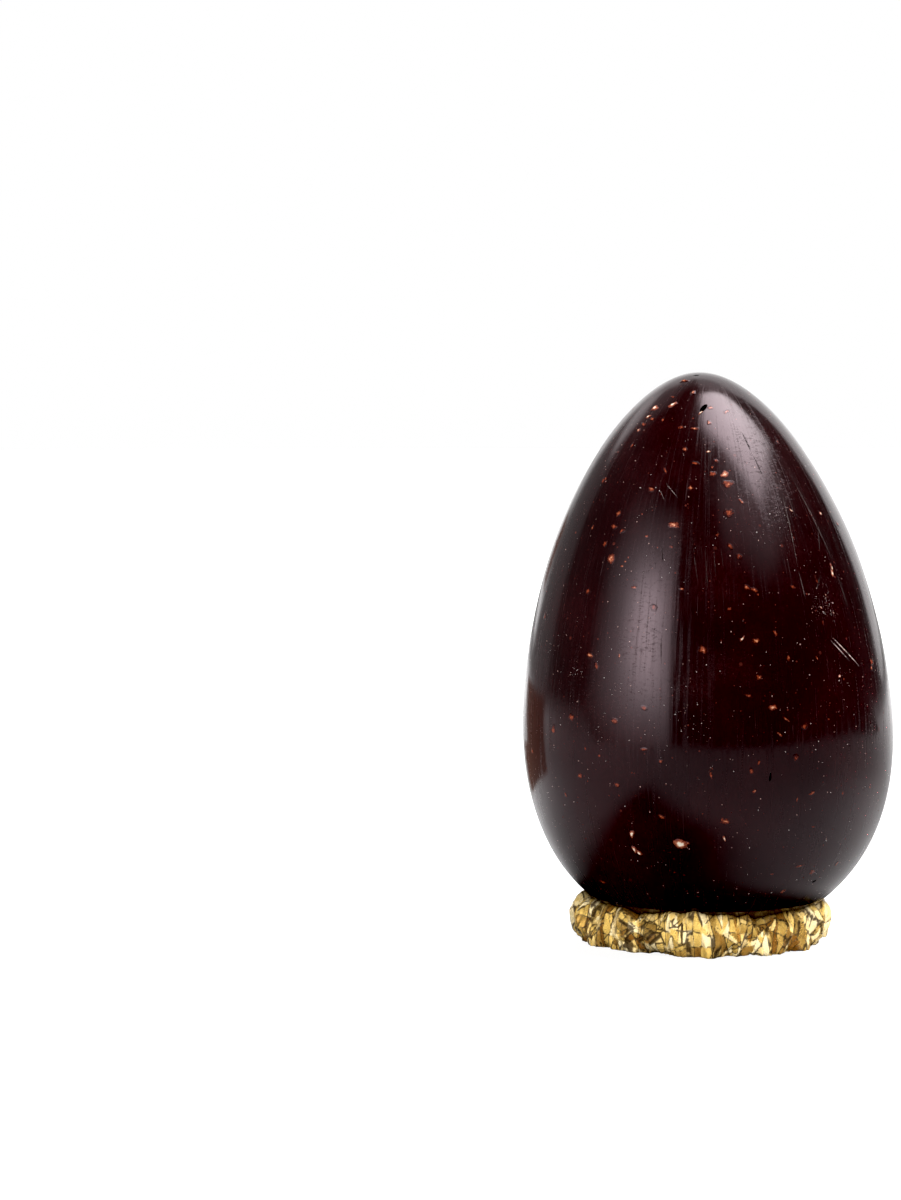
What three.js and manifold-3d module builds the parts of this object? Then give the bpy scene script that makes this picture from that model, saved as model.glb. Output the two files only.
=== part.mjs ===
// A whole dark chocolate egg with chopped hazelnuts in it, standing broad end down on a ring
// of its own crumpled gold foil. Millimetres, +Z up. The origin lies on the table under the
// middle of the egg, +X is to the right and +Y to the back, so the front faces -Y.
import * as THREE from 'three';
import { mergeVertices } from 'three/addons/utils/BufferGeometryUtils.js';
import Module from 'manifold-3d';

// ---- Driving dimensions ----

const EGG_WIDTH = 120; // across the widest place
const EGG_HEIGHT = 183; // from the broad end to the tip
const EGG_SWELL = [-0.257, 0.061, -0.064]; // how the sides swell along the axis, see swell()
const EGG_LEAN = THREE.MathUtils.degToRad(2.1); // the tip leans towards -X
const POLE_ABOVE_TABLE = 1; // the broad end hangs this far above the table inside the ring
const EGG_SIDES = 64;
const EGG_ROWS = 40;

const RING_RADIUS = 35; // to the middle of the rolled foil
const RING_CENTRE_X = -1.9; // the egg stands a little off the ring's middle
const ROLL_HALF_WIDTH = 6.2;
const ROLL_HALF_HEIGHT = 7.6;
const ROLL_MIDDLE_Z = 5.8; // lower than the half height, so the weight presses a flat underside
const RING_SIDES = 120;
const ROLL_SIDES = 12;
const FOIL_CLEARANCE = 0.5; // measured straight down from the egg

// Folds in the foil: how many go round the ring, how many turns they wind round the roll, depth
const FOLDS = [
  { count: 29, twist: 2, depth: 0.7 },
  { count: 17, twist: -1, depth: 0.5 },
  { count: 5, twist: 1, depth: 0.5 },
];
// Places where more foil is bunched: direction in degrees, half width in degrees, extra size
const BUNCHES = [
  { direction: 176, spread: 22, extra: 0.22 },
  { direction: -42, spread: 16, extra: 0.2 },
  { direction: 8, spread: 14, extra: 0.14 },
];

// Nut pieces at the front: direction in degrees (-90 is the front), height up the axis, length
const FRONT_NUTS = [
  [-104, 39, 4.2],
  [-120, 41, 2.6],
  [-119, 36, 3],
  [-90, 45, 4.2],
  [-62, 29, 3],
  [-133, 97, 2.6],
  [-78, 117, 4.4],
  [-62, 117, 2.6],
  [-130, 127, 3.4],
  [-105, 137, 3],
  [-81, 151, 3.4],
  [-119, 174, 3],
  [-136, 172, 2.8],
  [-106, 179, 2.4],
];
const SCATTERED_NUTS = 56;
const SCATTER_LOWEST = 24; // no nut stands out where the foil is
const SCATTER_HIGHEST = 176;
const NUT_SHORTEST = 1.8;
const NUT_LONGEST = 3.6;
const NUT_RISE = 0.45; // how far a nut piece stands out of the chocolate
const NUT_SUNK = 1.1;

// Small holes left by air in the mould: direction, height up the axis, width
const PITS = [
  [-88, 173.3, 2.2],
  [-92, 182.8, 1.6],
  [-76, 59, 1.6],
  [-24, 27, 2.4],
];
const PIT_DEPTH = 0.9;

// ---- The egg's outline ----

// A circle's half outline is sqrt(1 - u*u) for u from -1 at the broad end to 1 at the tip.
// Multiplied by this cubic in u it grows broad below and narrow above.
function swell(u) {
  const [first, second, third] = EGG_SWELL;
  return 1 + first * u + second * u * u + third * u * u * u;
}

function halfOutline(u) {
  return Math.sqrt(Math.max(0, 1 - u * u)) * swell(u);
}

// The place along the axis where the outline is widest, found by walking up it
function findWidest() {
  const steps = 2000;
  let best = { u: 0, outline: 0 };
  for (let i = 0; i <= steps; i += 1) {
    const u = -1 + (2 * i) / steps;
    if (halfOutline(u) > best.outline) {
      best = { u, outline: halfOutline(u) };
    }
  }
  return best;
}

const WIDEST = findWidest();
const RADIUS_SCALE = EGG_WIDTH / 2 / WIDEST.outline;

function heightOf(u) {
  return (EGG_HEIGHT / 2) * (1 + u);
}

function alongAxis(height) {
  return (2 * height) / EGG_HEIGHT - 1;
}

function eggRadius(height) {
  return RADIUS_SCALE * halfOutline(alongAxis(height));
}

// How high the egg's underside is at a distance from its axis, found by halving the interval
function undersideHeight(distance) {
  let low = 0;
  let high = heightOf(WIDEST.u);
  for (let i = 0; i < 40; i += 1) {
    const middle = (low + high) / 2;
    if (eggRadius(middle) < distance) {
      low = middle;
    } else {
      high = middle;
    }
  }
  return low;
}

// ---- Helpers ----

// A repeatable number from 0 to 1 for each whole number
function scatter(n) {
  const value = Math.sin(n * 12.9898) * 43758.5453;
  return value - Math.floor(value);
}

// Moves every corner of a three.js shape by a rule, with the shape's doubled corners joined
function reshape(geometry, rule) {
  geometry.deleteAttribute('normal');
  geometry.deleteAttribute('uv');
  const merged = mergeVertices(geometry);
  const corners = merged.getAttribute('position');
  const point = new THREE.Vector3();
  for (let i = 0; i < corners.count; i += 1) {
    point.fromBufferAttribute(corners, i);
    rule(point, i);
    corners.setXYZ(i, point.x, point.y, point.z);
  }
  return merged;
}

const wasm = await Module();
wasm.setup();

function toSolid(geometry) {
  return new wasm.Manifold(
    new wasm.Mesh({
      numProp: 3,
      vertProperties: new Float32Array(geometry.getAttribute('position').array),
      triVerts: new Uint32Array(geometry.getIndex().array),
    }),
  );
}

function toGeometry(solid) {
  const mesh = solid.getMesh();
  const geometry = new THREE.BufferGeometry();
  geometry.setAttribute('position', new THREE.BufferAttribute(mesh.vertProperties, 3));
  geometry.setIndex(new THREE.BufferAttribute(mesh.triVerts, 1));
  geometry.computeVertexNormals();
  return geometry;
}

// ---- The egg ----

// The plain egg: a ball whose rows are moved out to the outline, axis along Z, broad end at 0
function eggBody() {
  const ball = new THREE.SphereGeometry(1, EGG_SIDES, EGG_ROWS);
  ball.rotateX(Math.PI / 2);
  return reshape(ball, (point) => {
    const u = THREE.MathUtils.clamp(point.z, -1, 1);
    const out = RADIUS_SCALE * swell(u);
    point.set(point.x * out, point.y * out, heightOf(u));
  });
}

// The turn and place that put a small shape on the egg's side, with its +Z pointing outwards
function placeOnEgg(direction, height, spin, sink) {
  const angle = THREE.MathUtils.degToRad(direction);
  const step = 0.1;
  const slope = (eggRadius(height + step / 2) - eggRadius(height - step / 2)) / step;
  const outward = new THREE.Vector3(Math.cos(angle), Math.sin(angle), -slope).normalize();
  const turn = new THREE.Quaternion().setFromUnitVectors(new THREE.Vector3(0, 0, 1), outward);
  const spun = new THREE.Quaternion().setFromAxisAngle(new THREE.Vector3(0, 0, 1), spin);
  const radius = eggRadius(height);
  const place = new THREE.Vector3(radius * Math.cos(angle), radius * Math.sin(angle), height);
  place.addScaledVector(outward, -sink);
  return new THREE.Matrix4().compose(place, turn.multiply(spun), new THREE.Vector3(1, 1, 1));
}

// A chopped piece with twenty uneven faces: length along X, narrower along Y, flat along Z
function choppedPiece(length, thickness, seed) {
  const crystal = new THREE.IcosahedronGeometry(1, 0);
  return reshape(crystal, (point, i) => {
    point.multiplyScalar(0.82 + 0.36 * scatter(seed * 13 + i));
    const narrow = 0.6 + 0.3 * scatter(seed * 7 + 3);
    point.multiply(new THREE.Vector3(length / 2, (length * narrow) / 2, thickness / 2));
  });
}

function nut(direction, height, length, seed) {
  const thickness = NUT_RISE + NUT_SUNK;
  const piece = choppedPiece(length, thickness, seed);
  const sink = thickness / 2 - NUT_RISE;
  piece.applyMatrix4(placeOnEgg(direction, height, seed * 2.4, sink));
  return toSolid(piece);
}

// Two numbers that never fall in step spread the scattered pieces evenly over the egg
function scatteredNut(i) {
  const direction = 360 * ((0.31 + i * 0.7548776662 + 0.03 * scatter(i)) % 1);
  const share = (0.17 + i * 0.569840291 + 0.03 * scatter(i + 500)) % 1;
  const height = THREE.MathUtils.lerp(SCATTER_LOWEST, SCATTER_HIGHEST, share);
  const length = THREE.MathUtils.lerp(NUT_SHORTEST, NUT_LONGEST, scatter(i + 900));
  return nut(direction, height, length, i + 100);
}

function pit(direction, height, width, seed) {
  const hollow = choppedPiece(width, PIT_DEPTH * 2, seed);
  hollow.applyMatrix4(placeOnEgg(direction, height, seed, 0));
  return toSolid(hollow);
}

function makeEgg() {
  let solid = toSolid(eggBody());
  FRONT_NUTS.forEach(([direction, height, length], i) => {
    solid = solid.add(nut(direction, height, length, i + 1));
  });
  for (let i = 0; i < SCATTERED_NUTS; i += 1) {
    solid = solid.add(scatteredNut(i));
  }
  PITS.forEach(([direction, height, width], i) => {
    solid = solid.subtract(pit(direction, height, width, i + 40));
  });
  const chocolate = new THREE.MeshStandardMaterial({ color: 0x2a1412, roughness: 0.22 });
  const egg = new THREE.Mesh(toGeometry(solid), chocolate);
  egg.name = 'egg';
  return egg;
}

// The egg leans about the middle of its widest place, which stays over the origin
function leanEgg(egg) {
  const pivot = heightOf(WIDEST.u);
  egg.rotation.y = -EGG_LEAN;
  egg.position.x = pivot * Math.sin(EGG_LEAN);
  egg.position.z = POLE_ABOVE_TABLE + pivot * (1 - Math.cos(EGG_LEAN));
  egg.updateMatrixWorld();
}

// ---- The foil ring ----

// A zigzag of height 1 that repeats every whole number, as a fold does across its creases
function zigzag(x) {
  return 2 * Math.abs(2 * (x - Math.floor(x + 0.5))) - 1;
}

// How far the foil stands out at a place: round the ring, and round the roll's own section
function foldDepth(around, section) {
  const turn = 2 * Math.PI;
  return FOLDS.reduce(
    (sum, { count, twist, depth }, i) =>
      sum + depth * zigzag((count * around + twist * section) / turn + 0.37 * i),
    0,
  );
}

function bunching(around) {
  const degrees = THREE.MathUtils.radToDeg(around);
  return BUNCHES.reduce((size, { direction, spread, extra }) => {
    const away = THREE.MathUtils.euclideanModulo(degrees - direction + 180, 360) - 180;
    return size + extra * Math.exp(-((away / spread) ** 2));
  }, 1);
}

// The ring is a doughnut whose roll is taller than wide, folded all over, pressed flat on the
// table and pressed down by the egg that stands in it
function makeFoil(egg) {
  const doughnut = new THREE.TorusGeometry(RING_RADIUS, 1, ROLL_SIDES, RING_SIDES);
  const toEgg = egg.matrixWorld.clone().invert();
  const inEgg = new THREE.Vector3();
  const ring = reshape(doughnut, (point) => {
    const around = Math.atan2(point.y, point.x);
    const section = Math.atan2(point.z, Math.hypot(point.x, point.y) - RING_RADIUS);
    const size = bunching(around);
    const fold = foldDepth(around, section);
    const outward = RING_RADIUS + (ROLL_HALF_WIDTH * size + fold) * Math.cos(section);
    const up = ROLL_MIDDLE_Z + (ROLL_HALF_HEIGHT * size + fold) * Math.sin(section);
    point.set(RING_CENTRE_X + outward * Math.cos(around), outward * Math.sin(around), up);
    inEgg.copy(point).applyMatrix4(toEgg);
    const roof = undersideHeight(Math.hypot(inEgg.x, inEgg.y)) - FOIL_CLEARANCE;
    point.z = Math.max(0, point.z - Math.max(0, inEgg.z - roof));
  });
  ring.computeVertexNormals();
  const gold = new THREE.MeshStandardMaterial({ color: 0xd8a640, roughness: 0.28, metalness: 1 });
  const foil = new THREE.Mesh(ring, gold);
  foil.name = 'foil';
  return foil;
}

// ---- The whole object ----

const egg = makeEgg();
leanEgg(egg);
const object = new THREE.Group();
object.add(egg);
object.add(makeFoil(egg));

export default object;
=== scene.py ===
# %% [markdown]
# # A dark chocolate egg with hazelnuts, standing on its gold foil
#
# A moulded chocolate egg is a smooth, polished shell. Chopped hazelnuts lie just under its
# skin and show as small red-brown and cream spots. It stands broad end down in a ring rolled
# from the gold foil that it was wrapped in.
#
# The solid model already gives both parts their true size and place. This lesson keeps those
# forms and adds what the eye looks for: the polish, the nuts, the wiping marks and the folds.

import bpy
import numpy as np
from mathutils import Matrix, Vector


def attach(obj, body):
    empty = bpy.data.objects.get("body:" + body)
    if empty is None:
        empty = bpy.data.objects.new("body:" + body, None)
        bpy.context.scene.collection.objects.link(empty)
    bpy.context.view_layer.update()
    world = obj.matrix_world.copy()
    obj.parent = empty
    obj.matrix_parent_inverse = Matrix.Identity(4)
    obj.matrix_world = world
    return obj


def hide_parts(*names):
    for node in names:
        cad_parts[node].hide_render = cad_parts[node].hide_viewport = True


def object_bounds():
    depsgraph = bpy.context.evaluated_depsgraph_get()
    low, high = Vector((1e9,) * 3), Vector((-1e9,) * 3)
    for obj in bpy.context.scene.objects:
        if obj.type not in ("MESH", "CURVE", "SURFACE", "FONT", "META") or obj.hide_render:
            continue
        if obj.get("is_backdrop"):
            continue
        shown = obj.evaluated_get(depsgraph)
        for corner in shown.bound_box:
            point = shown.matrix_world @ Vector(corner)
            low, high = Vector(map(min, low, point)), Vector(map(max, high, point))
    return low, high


MM = 0.001
WHITE = (1.0, 1.0, 1.0, 1.0)
BLACK = (0.0, 0.0, 0.0, 1.0)

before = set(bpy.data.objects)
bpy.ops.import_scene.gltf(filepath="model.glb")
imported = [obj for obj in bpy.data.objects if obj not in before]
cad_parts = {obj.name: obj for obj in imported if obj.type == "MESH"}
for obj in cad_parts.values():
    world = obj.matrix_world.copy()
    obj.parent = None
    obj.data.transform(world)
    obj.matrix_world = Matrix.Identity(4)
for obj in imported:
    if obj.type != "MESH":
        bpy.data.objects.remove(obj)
cad_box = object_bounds()
print("nodes:", sorted(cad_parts), "size in mm:", (cad_box[1] - cad_box[0]) / MM)

# %% [markdown]
# ## The camera
#
# A product picture of an egg is taken from about a metre away with a long lens, so that the
# egg keeps its true outline. The camera stands a little left of the egg and a little above
# its middle, and looks straight ahead and slightly down. Aiming it by its tilt, with no
# target object, keeps its place easy to read.

# %% Camera
CAMERA_PLACE = (-83.6 * MM, -1049.3 * MM, 200.6 * MM)
CAMERA_LOOKS_DOWN = np.radians(4.93)
CAMERA_ROLL = np.radians(-0.12)
SENSOR_LONG_SIDE = 36.0
LENS = 97.3

camera_data = bpy.data.cameras.new("camera")
camera_data.sensor_width = SENSOR_LONG_SIDE
camera_data.lens = LENS
camera = bpy.data.objects.new("camera", camera_data)
camera.location = CAMERA_PLACE
camera.rotation_mode = "ZXY"
camera.rotation_euler = (np.pi / 2 - CAMERA_LOOKS_DOWN, 0.0, CAMERA_ROLL)
bpy.context.scene.collection.objects.link(camera)
bpy.context.scene.camera = camera
print("camera at", tuple(camera.location), "lens", LENS)

# %% [markdown]
# ## Arithmetic that writes shader nodes
#
# A material is a sum of many small patterns, and wiring each sum by hand hides the idea. So
# a socket is wrapped in a class whose +, -, * and / add Math nodes. A material can then be
# written as a formula, and every other kind of node comes from one method.


# %% Sockets as numbers
class Signal:
    """A node's output that takes part in Python arithmetic."""

    def __init__(self, recipe, socket):
        self.recipe = recipe
        self.socket = socket

    def output(self, number):
        """Another output of the same node."""
        return Signal(self.recipe, self.socket.node.outputs[number])

    def __add__(self, other):
        return self.recipe.maths("ADD", self, other)

    def __sub__(self, other):
        return self.recipe.maths("SUBTRACT", self, other)

    def __rsub__(self, other):
        return self.recipe.maths("SUBTRACT", other, self)

    def __mul__(self, other):
        return self.recipe.maths("MULTIPLY", self, other)

    def __truediv__(self, other):
        return self.recipe.maths("DIVIDE", self, other)

    def __rtruediv__(self, other):
        return self.recipe.maths("DIVIDE", other, self)

    __radd__ = __add__
    __rmul__ = __mul__


print("sockets add, subtract, multiply and divide")

# %% [markdown]
# A recipe writes the nodes of one material. Beside the one method for any node, it has a short
# name for each pattern that the finishes here are mixed from: a smooth step, patches of noise,
# cells with a dot in each, and numbers kept on the mesh.


# %% Recipe
class Recipe:
    """Writes the nodes of one material or world."""

    def __init__(self, tree):
        tree.nodes.clear()
        self.tree = tree

    def node(self, kind, settings=None, inputs=None, output=0):
        """Adds a node of any kind: first its settings, then its sockets' values or links."""
        made = self.tree.nodes.new(kind)
        for name, setting in (settings or {}).items():
            setattr(made, name, setting)
        for name, value in (inputs or {}).items():
            if isinstance(value, Signal):
                self.tree.links.new(value.socket, made.inputs[name])
            else:
                made.inputs[name].default_value = value
        return Signal(self, made.outputs[output]) if made.outputs else made

    def maths(self, operation, *values):
        return self.node("ShaderNodeMath", {"operation": operation}, dict(enumerate(values)))

    def vector(self, operation, *values, output=0):
        """Vector arithmetic. Output 1 is a number, such as a distance."""
        values = dict(enumerate(values))
        return self.node("ShaderNodeVectorMath", {"operation": operation}, values, output)

    def split(self, vector):
        x = self.node("ShaderNodeSeparateXYZ", None, {0: vector})
        return x, x.output(1), x.output(2)

    def join(self, x, y, z):
        return self.node("ShaderNodeCombineXYZ", None, {0: x, 1: y, 2: z})

    def place(self):
        """Where on the object a point is, in metres."""
        return self.node("ShaderNodeTexCoord", output=3)

    def feature(self, name):
        """A number that the mesh keeps at every point."""
        return self.node("ShaderNodeAttribute", {"attribute_name": name}, output=2)

    def rise(self, value, low, high):
        """0 up to low, 1 from high, a smooth step between. With low > high it falls instead."""
        steps = {"Value": value, "From Min": low, "From Max": high}
        return self.node("ShaderNodeMapRange", {"interpolation_type": "SMOOTHSTEP"}, steps)

    def band(self, value, start, full_from, full_to, end):
        """0 outside start to end, 1 between the inner two numbers, with smooth sides."""
        return self.rise(value, start, full_from) * self.rise(value, end, full_to)

    def mix(self, share, first, second):
        """The first colour, with a share of the second mixed in."""
        colours = {0: share, 6: first, 7: second}
        return self.node("ShaderNodeMix", {"data_type": "RGBA"}, colours, output=2)

    def noise(self, where, size, detail, roughness):
        """Cloudy noise from 0 to 1 whose clouds are about size mm across."""
        kinds = {"Scale": 1 / (size * MM), "Detail": detail, "Roughness": roughness}
        return self.node("ShaderNodeTexNoise", None, {"Vector": where, **kinds})

    def patches(self, where, size, detail, roughness, low, high):
        """Noise made into patches: 0 where it is below low, 1 where it is above high."""
        return self.rise(self.noise(where, size, detail, roughness), low, high)

    def cells(self, where, size):
        """Cells size mm across: the distance to a cell's dot, in cells, and its random number."""
        spots = {"Vector": where, "Scale": 1 / (size * MM)}
        distance = self.node("ShaderNodeTexVoronoi", None, spots)
        return distance, self.split(distance.output(1))[0]

    def bump(self, height):
        """The normal of a surface with this relief in mm."""
        return self.node("ShaderNodeBump", None, {"Height": height, "Distance": MM})

    def show(self, shader):
        self.node("ShaderNodeOutputMaterial", None, {"Surface": shader})

    def surface(self, holes=0.0, **sockets):
        """The Principled shader with these sockets; holes get plain black as painted shade."""
        named = {name.replace("_", " "): value for name, value in sockets.items()}
        shader = self.node("ShaderNodeBsdfPrincipled", None, named)
        if isinstance(holes, Signal):
            # Painted shade: inside a hole the chocolate is drawn plain black.
            painted_hole_shade = self.node("ShaderNodeBsdfDiffuse", None, {"Color": BLACK})
            shader = self.node("ShaderNodeMixShader", None, {0: holes, 1: shader, 2: painted_hole_shade})
        self.show(shader)


def new_material(name):
    material = bpy.data.materials.new(name)
    material.use_nodes = True
    return material, Recipe(material.node_tree)


print("a recipe has", sum(not name.startswith("_") for name in dir(Recipe)), "methods")

# %% [markdown]
# ## The studio
#
# Polished chocolate is almost black, and nearly all that shows on it is a mirror picture of
# the studio. So the studio is written as what each direction holds: a tall soft panel at the
# front left with one crisp edge, a large panel high on the right, a pale wall behind, and
# darkness elsewhere. Real lamps would do it too, but panels that are only directions give
# clean reflections with little noise.

# %% Studio panels
# Each panel: four angles right of the camera's side and four above the horizon, at which its
# light starts, is full, is full no more and ends, and how bright it is.
PANELS = {
    "left box": ((-66, -43, -43, -26), (0, 17, 22, 35), 4.3),
    "left box glow": ((-90, -48, -29, -25.6), (-18, 14, 20, 50), 2.2),
    "right wall": ((137, 140, 181, 182), (-91, -90, 42, 52), 1.25),
    "right sky": ((128, 150, 181, 182), (40, 50, 64, 76), 0.8),
    "left wall": ((-182, -181, -126, -123), (-30, -20, 26, 34), 0.25),
    "left rim, low": ((-182, -181, -155, -151), (-18, -15, 2, 6), 1.25),
    "left rim, high": ((-182, -181, -166, -150), (2, 9, 42, 54), 1.0),
    "left gloom": ((-130, -118, -88, -66), (-40, -30, 40, 60), 0.07),
    "left corner": ((-162, -150, -138, -128), (24, 30, 36, 44), 1.4),
    "left sky": ((-182, -181, -130, -112), (36, 44, 55, 70), 0.3),
    "lamp stand": ((112, 112.6, 113, 113.6), (2, 34, 50, 60), 0.5),
}
DARK_ROOM = 0.02


def panel_light(recipe, direction):
    """The light of all panels and of the dark room between them."""
    x, y, z = direction
    azimuth = recipe.maths("ARCTAN2", x, y * -1.0) * (180 / np.pi)
    height = recipe.maths("ARCSINE", z) * (180 / np.pi)
    light = DARK_ROOM
    for azimuths, heights, brightness in PANELS.values():
        light = recipe.band(azimuth, *azimuths) * recipe.band(height, *heights) * brightness + light
    return light


print(len(PANELS), "panels described")

# %% [markdown]
# A flat box over the egg shows in the polish as a bright patch with straight sides, hottest
# at one spot. Written as angles its sides would be curves, so it is measured on the ceiling:
# how far right and how far back a direction goes for each step up. A weaker glow beside it
# stands for the light that it throws on the ceiling.

# %% Ceiling boxes
# Each box: its light, how much more at the hot spot, and its soft straight sides, which are
# weights for right and back, and where their sum is dark and where it is full.
BOX_SIDES = (
    (1.0, 0.0, -0.06, 0.08),
    (1.0, -0.2, 1.06, 0.93),
    (0.3, 1.0, -0.33, -0.14),
    (0.0, 1.0, 0.42, 0.34),
    (-0.5, 1.0, 0.24, 0.15),
)
GLOW_SIDES = (
    (1.0, 0.0, 0.1, 0.4),
    (1.0, 0.0, 1.6, 1.0),
    (0.0, 1.0, -1.5, -0.7),
    (0.0, 1.0, 0.3, 0.0),
)
CEILING_BOXES = ((1.6, 9.0, BOX_SIDES), (0.6, 0.0, GLOW_SIDES))
HOT_SPOT_RIGHT, HOT_SPOT_BACK = 0.47, 0.07
HOT_SPOT_SPREAD = 0.38
HORIZON_FADE = 0.05


def soft_sides(recipe, right, back, sides, inside=1.0):
    """1 inside a shape with soft straight sides: one smooth step for each side, multiplied."""
    for right_weight, back_weight, clear, full in sides:
        inside = inside * recipe.rise(right * right_weight + back * back_weight, clear, full)
    return inside


def ceiling_light(recipe, direction):
    """The light of both boxes. The heat falls off round the hot spot as a bell curve."""
    x, y, z = direction
    right, back = x / z, y / z
    off_right, off_back = right - HOT_SPOT_RIGHT, back - HOT_SPOT_BACK
    from_spot = off_right * off_right + off_back * off_back
    bell = recipe.maths("EXPONENT", from_spot * (-1.0 / HOT_SPOT_SPREAD))
    light = 0.0
    for plain, hot, sides in CEILING_BOXES:
        inside = soft_sides(recipe, right, back, sides, recipe.rise(z, 0.0, HORIZON_FADE))
        light = inside * (bell * hot + plain) + light
    return light


print(len(CEILING_BOXES), "ceiling boxes described")

# %% [markdown]
# The world holds both, because a world's light is worked out for each direction alone. Rays
# that come straight from the camera see plain white instead.

# %% Studio
CAMERA_SEES = 1.0


def add_studio():
    """The camera sees plain white, and every other ray the panels and the ceiling."""
    world = bpy.data.worlds.new("studio")
    bpy.context.scene.world = world
    world.use_nodes = True
    recipe = Recipe(world.node_tree)
    direction = recipe.split(recipe.node("ShaderNodeTexCoord"))
    light = panel_light(recipe, direction) + ceiling_light(recipe, direction)
    seen = recipe.node("ShaderNodeLightPath")
    strength = seen * CAMERA_SEES + (1.0 - seen) * light
    background = recipe.node("ShaderNodeBackground", None, {"Color": WHITE, "Strength": strength})
    recipe.node("ShaderNodeOutputWorld", None, {"Surface": background})


add_studio()
print("studio lit,", len(bpy.context.scene.world.node_tree.nodes), "nodes")

# %% [markdown]
# Product pictures are developed with a slightly raised black point, which deepens the darkest
# tones and makes dark chocolate look rich. Blender's own curve does the same here.

# %% Picture tones
BLACK_POINT = 0.005

view = bpy.context.scene.view_settings
view.view_transform = "Standard"
view.use_curve_mapping = True
view.curve_mapping.black_level = (BLACK_POINT, BLACK_POINT, BLACK_POINT)
view.curve_mapping.update()
print("view transform", view.view_transform, "with black point", BLACK_POINT)

# %% [markdown]
# The table is a white sheet that ends about 0.6 m in front of the egg. Its front edge matters:
# the egg mirrors the sheet below its middle and the dark room above. The camera sees the sheet
# bleached nearly white, with only a faint shadow left where the foil touches it, so the sheet
# glows for the camera alone. Its corners are in metres.

# %% Table
TABLE_CORNERS = (
    (-3.0, -0.14), (-0.48, -0.14), (-0.46, -0.34), (-0.35, -0.54), (-0.11, -0.71),
    (0.21, -0.76), (0.48, -0.61), (0.70, -0.30), (0.80, 0.0), (0.75, 0.26), (0.65, 0.41),
    (3.0, 1.51), (3.0, 4.0), (-3.0, 4.0),
)
TABLE_GREY = (0.20, 0.20, 0.20, 1.0)
TABLE_BLEACH = 0.90


def table_material():
    material, recipe = new_material("white_table")
    sheet = recipe.node("ShaderNodeBsdfDiffuse", None, {"Color": TABLE_GREY})
    seen = recipe.node("ShaderNodeLightPath")
    bleach = recipe.node("ShaderNodeEmission", None, {"Strength": seen * TABLE_BLEACH})
    recipe.show(recipe.node("ShaderNodeAddShader", None, {0: sheet, 1: bleach}))
    return material


def add_stage(name, corners, material):
    """A flat sheet through these corners that belongs to the studio, not to the object."""
    mesh = bpy.data.meshes.new(name)
    mesh.from_pydata(corners, [], [range(len(corners))])
    mesh.materials.append(material)
    sheet = bpy.data.objects.new(name, mesh)
    bpy.context.scene.collection.objects.link(sheet)
    sheet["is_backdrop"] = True
    return sheet


add_stage("table", [(x, y, 0.0) for x, y in TABLE_CORNERS], table_material())
print("table with", len(TABLE_CORNERS), "corners")

# %% [markdown]
# What stands near the egg shows in its polish. Dark things lying in front of it blacken the
# mirror image of the table on its lower front, and a brown box behind it on the left shows as
# a narrow strip on its left edge. The black card also holds a round patch of painted shade next
# to the foil, where the egg shades the table. Colour painted on the chocolate would stay there
# from every side, so both are cards that only reflections see. Their sizes are in mm.

# %% Cards
BLACK_CARD_HEIGHT = 14.5
BLACK_CARD_CORNERS = ((-160, -190), (70, -190), (70, 20), (-160, 20))
# Each soft side: its weights for right and back, and where their sum is clear and full.
BLACK_CARD_SIDES = (
    (0.824, -0.567, -54, -22),
    (-0.408, 0.913, -108, -66),
    (-1.0, 0.0, -34, 16),
    (1.0, 0.0, -121, -83),
)
# The round patch of painted shade: its middle, and the distances in mm where it is clear and full.
SHADE_X, SHADE_Y = -4, -8
SHADE_REACH, SHADE_FULL = 47, 39
# Each brown card: the two ends of its foot, and the heights of its lower and upper edge.
BROWN_CARDS = (
    ((-238, 105), (-141, 187), 0, 74),
    ((-141, 187), (-110, 214), 0, 33),
    ((-141, 187), (-110, 214), 118, 160),
)
BROWN_CARD_COLOUR = (0.24, 0.13, 0.10, 1.0)


def black_card_material():
    """Covers a shape with soft straight sides, as the ceiling boxes have, or a round place.

    The round place is a patch of painted shade next to the foil, where the egg's own shade is
    deepest.
    """
    material, recipe = new_material("black_card")
    x, y, _ = recipe.split(recipe.place())
    x, y = x / MM, y / MM
    card = soft_sides(recipe, x, y, BLACK_CARD_SIDES)
    off_x, off_y = x - SHADE_X, y - SHADE_Y
    away = recipe.maths("SQRT", off_x * off_x + off_y * off_y)
    shade = recipe.rise(away, SHADE_REACH, SHADE_FULL)
    cover = 1.0 - (1.0 - card) * (1.0 - shade)
    recipe.surface(Base_Color=BLACK, Roughness=1.0, Specular_IOR_Level=0.0, Alpha=cover)
    return material


def brown_card_material():
    material, recipe = new_material("brown_card")
    recipe.show(recipe.node("ShaderNodeEmission", None, {"Color": BROWN_CARD_COLOUR}))
    return material


def add_card(name, corners, material):
    """A card that is seen only as the egg's mirror image of it. Corners are in mm."""
    card = add_stage(name, [Vector(corner) * MM for corner in corners], material)
    card.visible_camera = False
    card.visible_diffuse = False
    card.visible_shadow = False


black_card_corners = [(x, y, BLACK_CARD_HEIGHT) for x, y in BLACK_CARD_CORNERS]
add_card("black_card", black_card_corners, black_card_material())
brown = brown_card_material()
for (x1, y1), (x2, y2), low, top in BROWN_CARDS:
    corners = [(x1, y1, low), (x2, y2, low), (x2, y2, top), (x1, y1, top)]
    add_card("brown_card", corners, brown)
print("a black card and", len(BROWN_CARDS), "brown ones")

# %% [markdown]
# A wide lamp behind and above lights the sheet and falls off towards the front, and three
# small ones brighten it round the egg. Chocolate mirrors much and scatters little, so its nuts
# need a large soft lamp of their own from the front, and the foil one more. Light linking
# keeps each of these two off everything else. No lamp is seen as a mirror image, because the
# panels already are.

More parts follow.
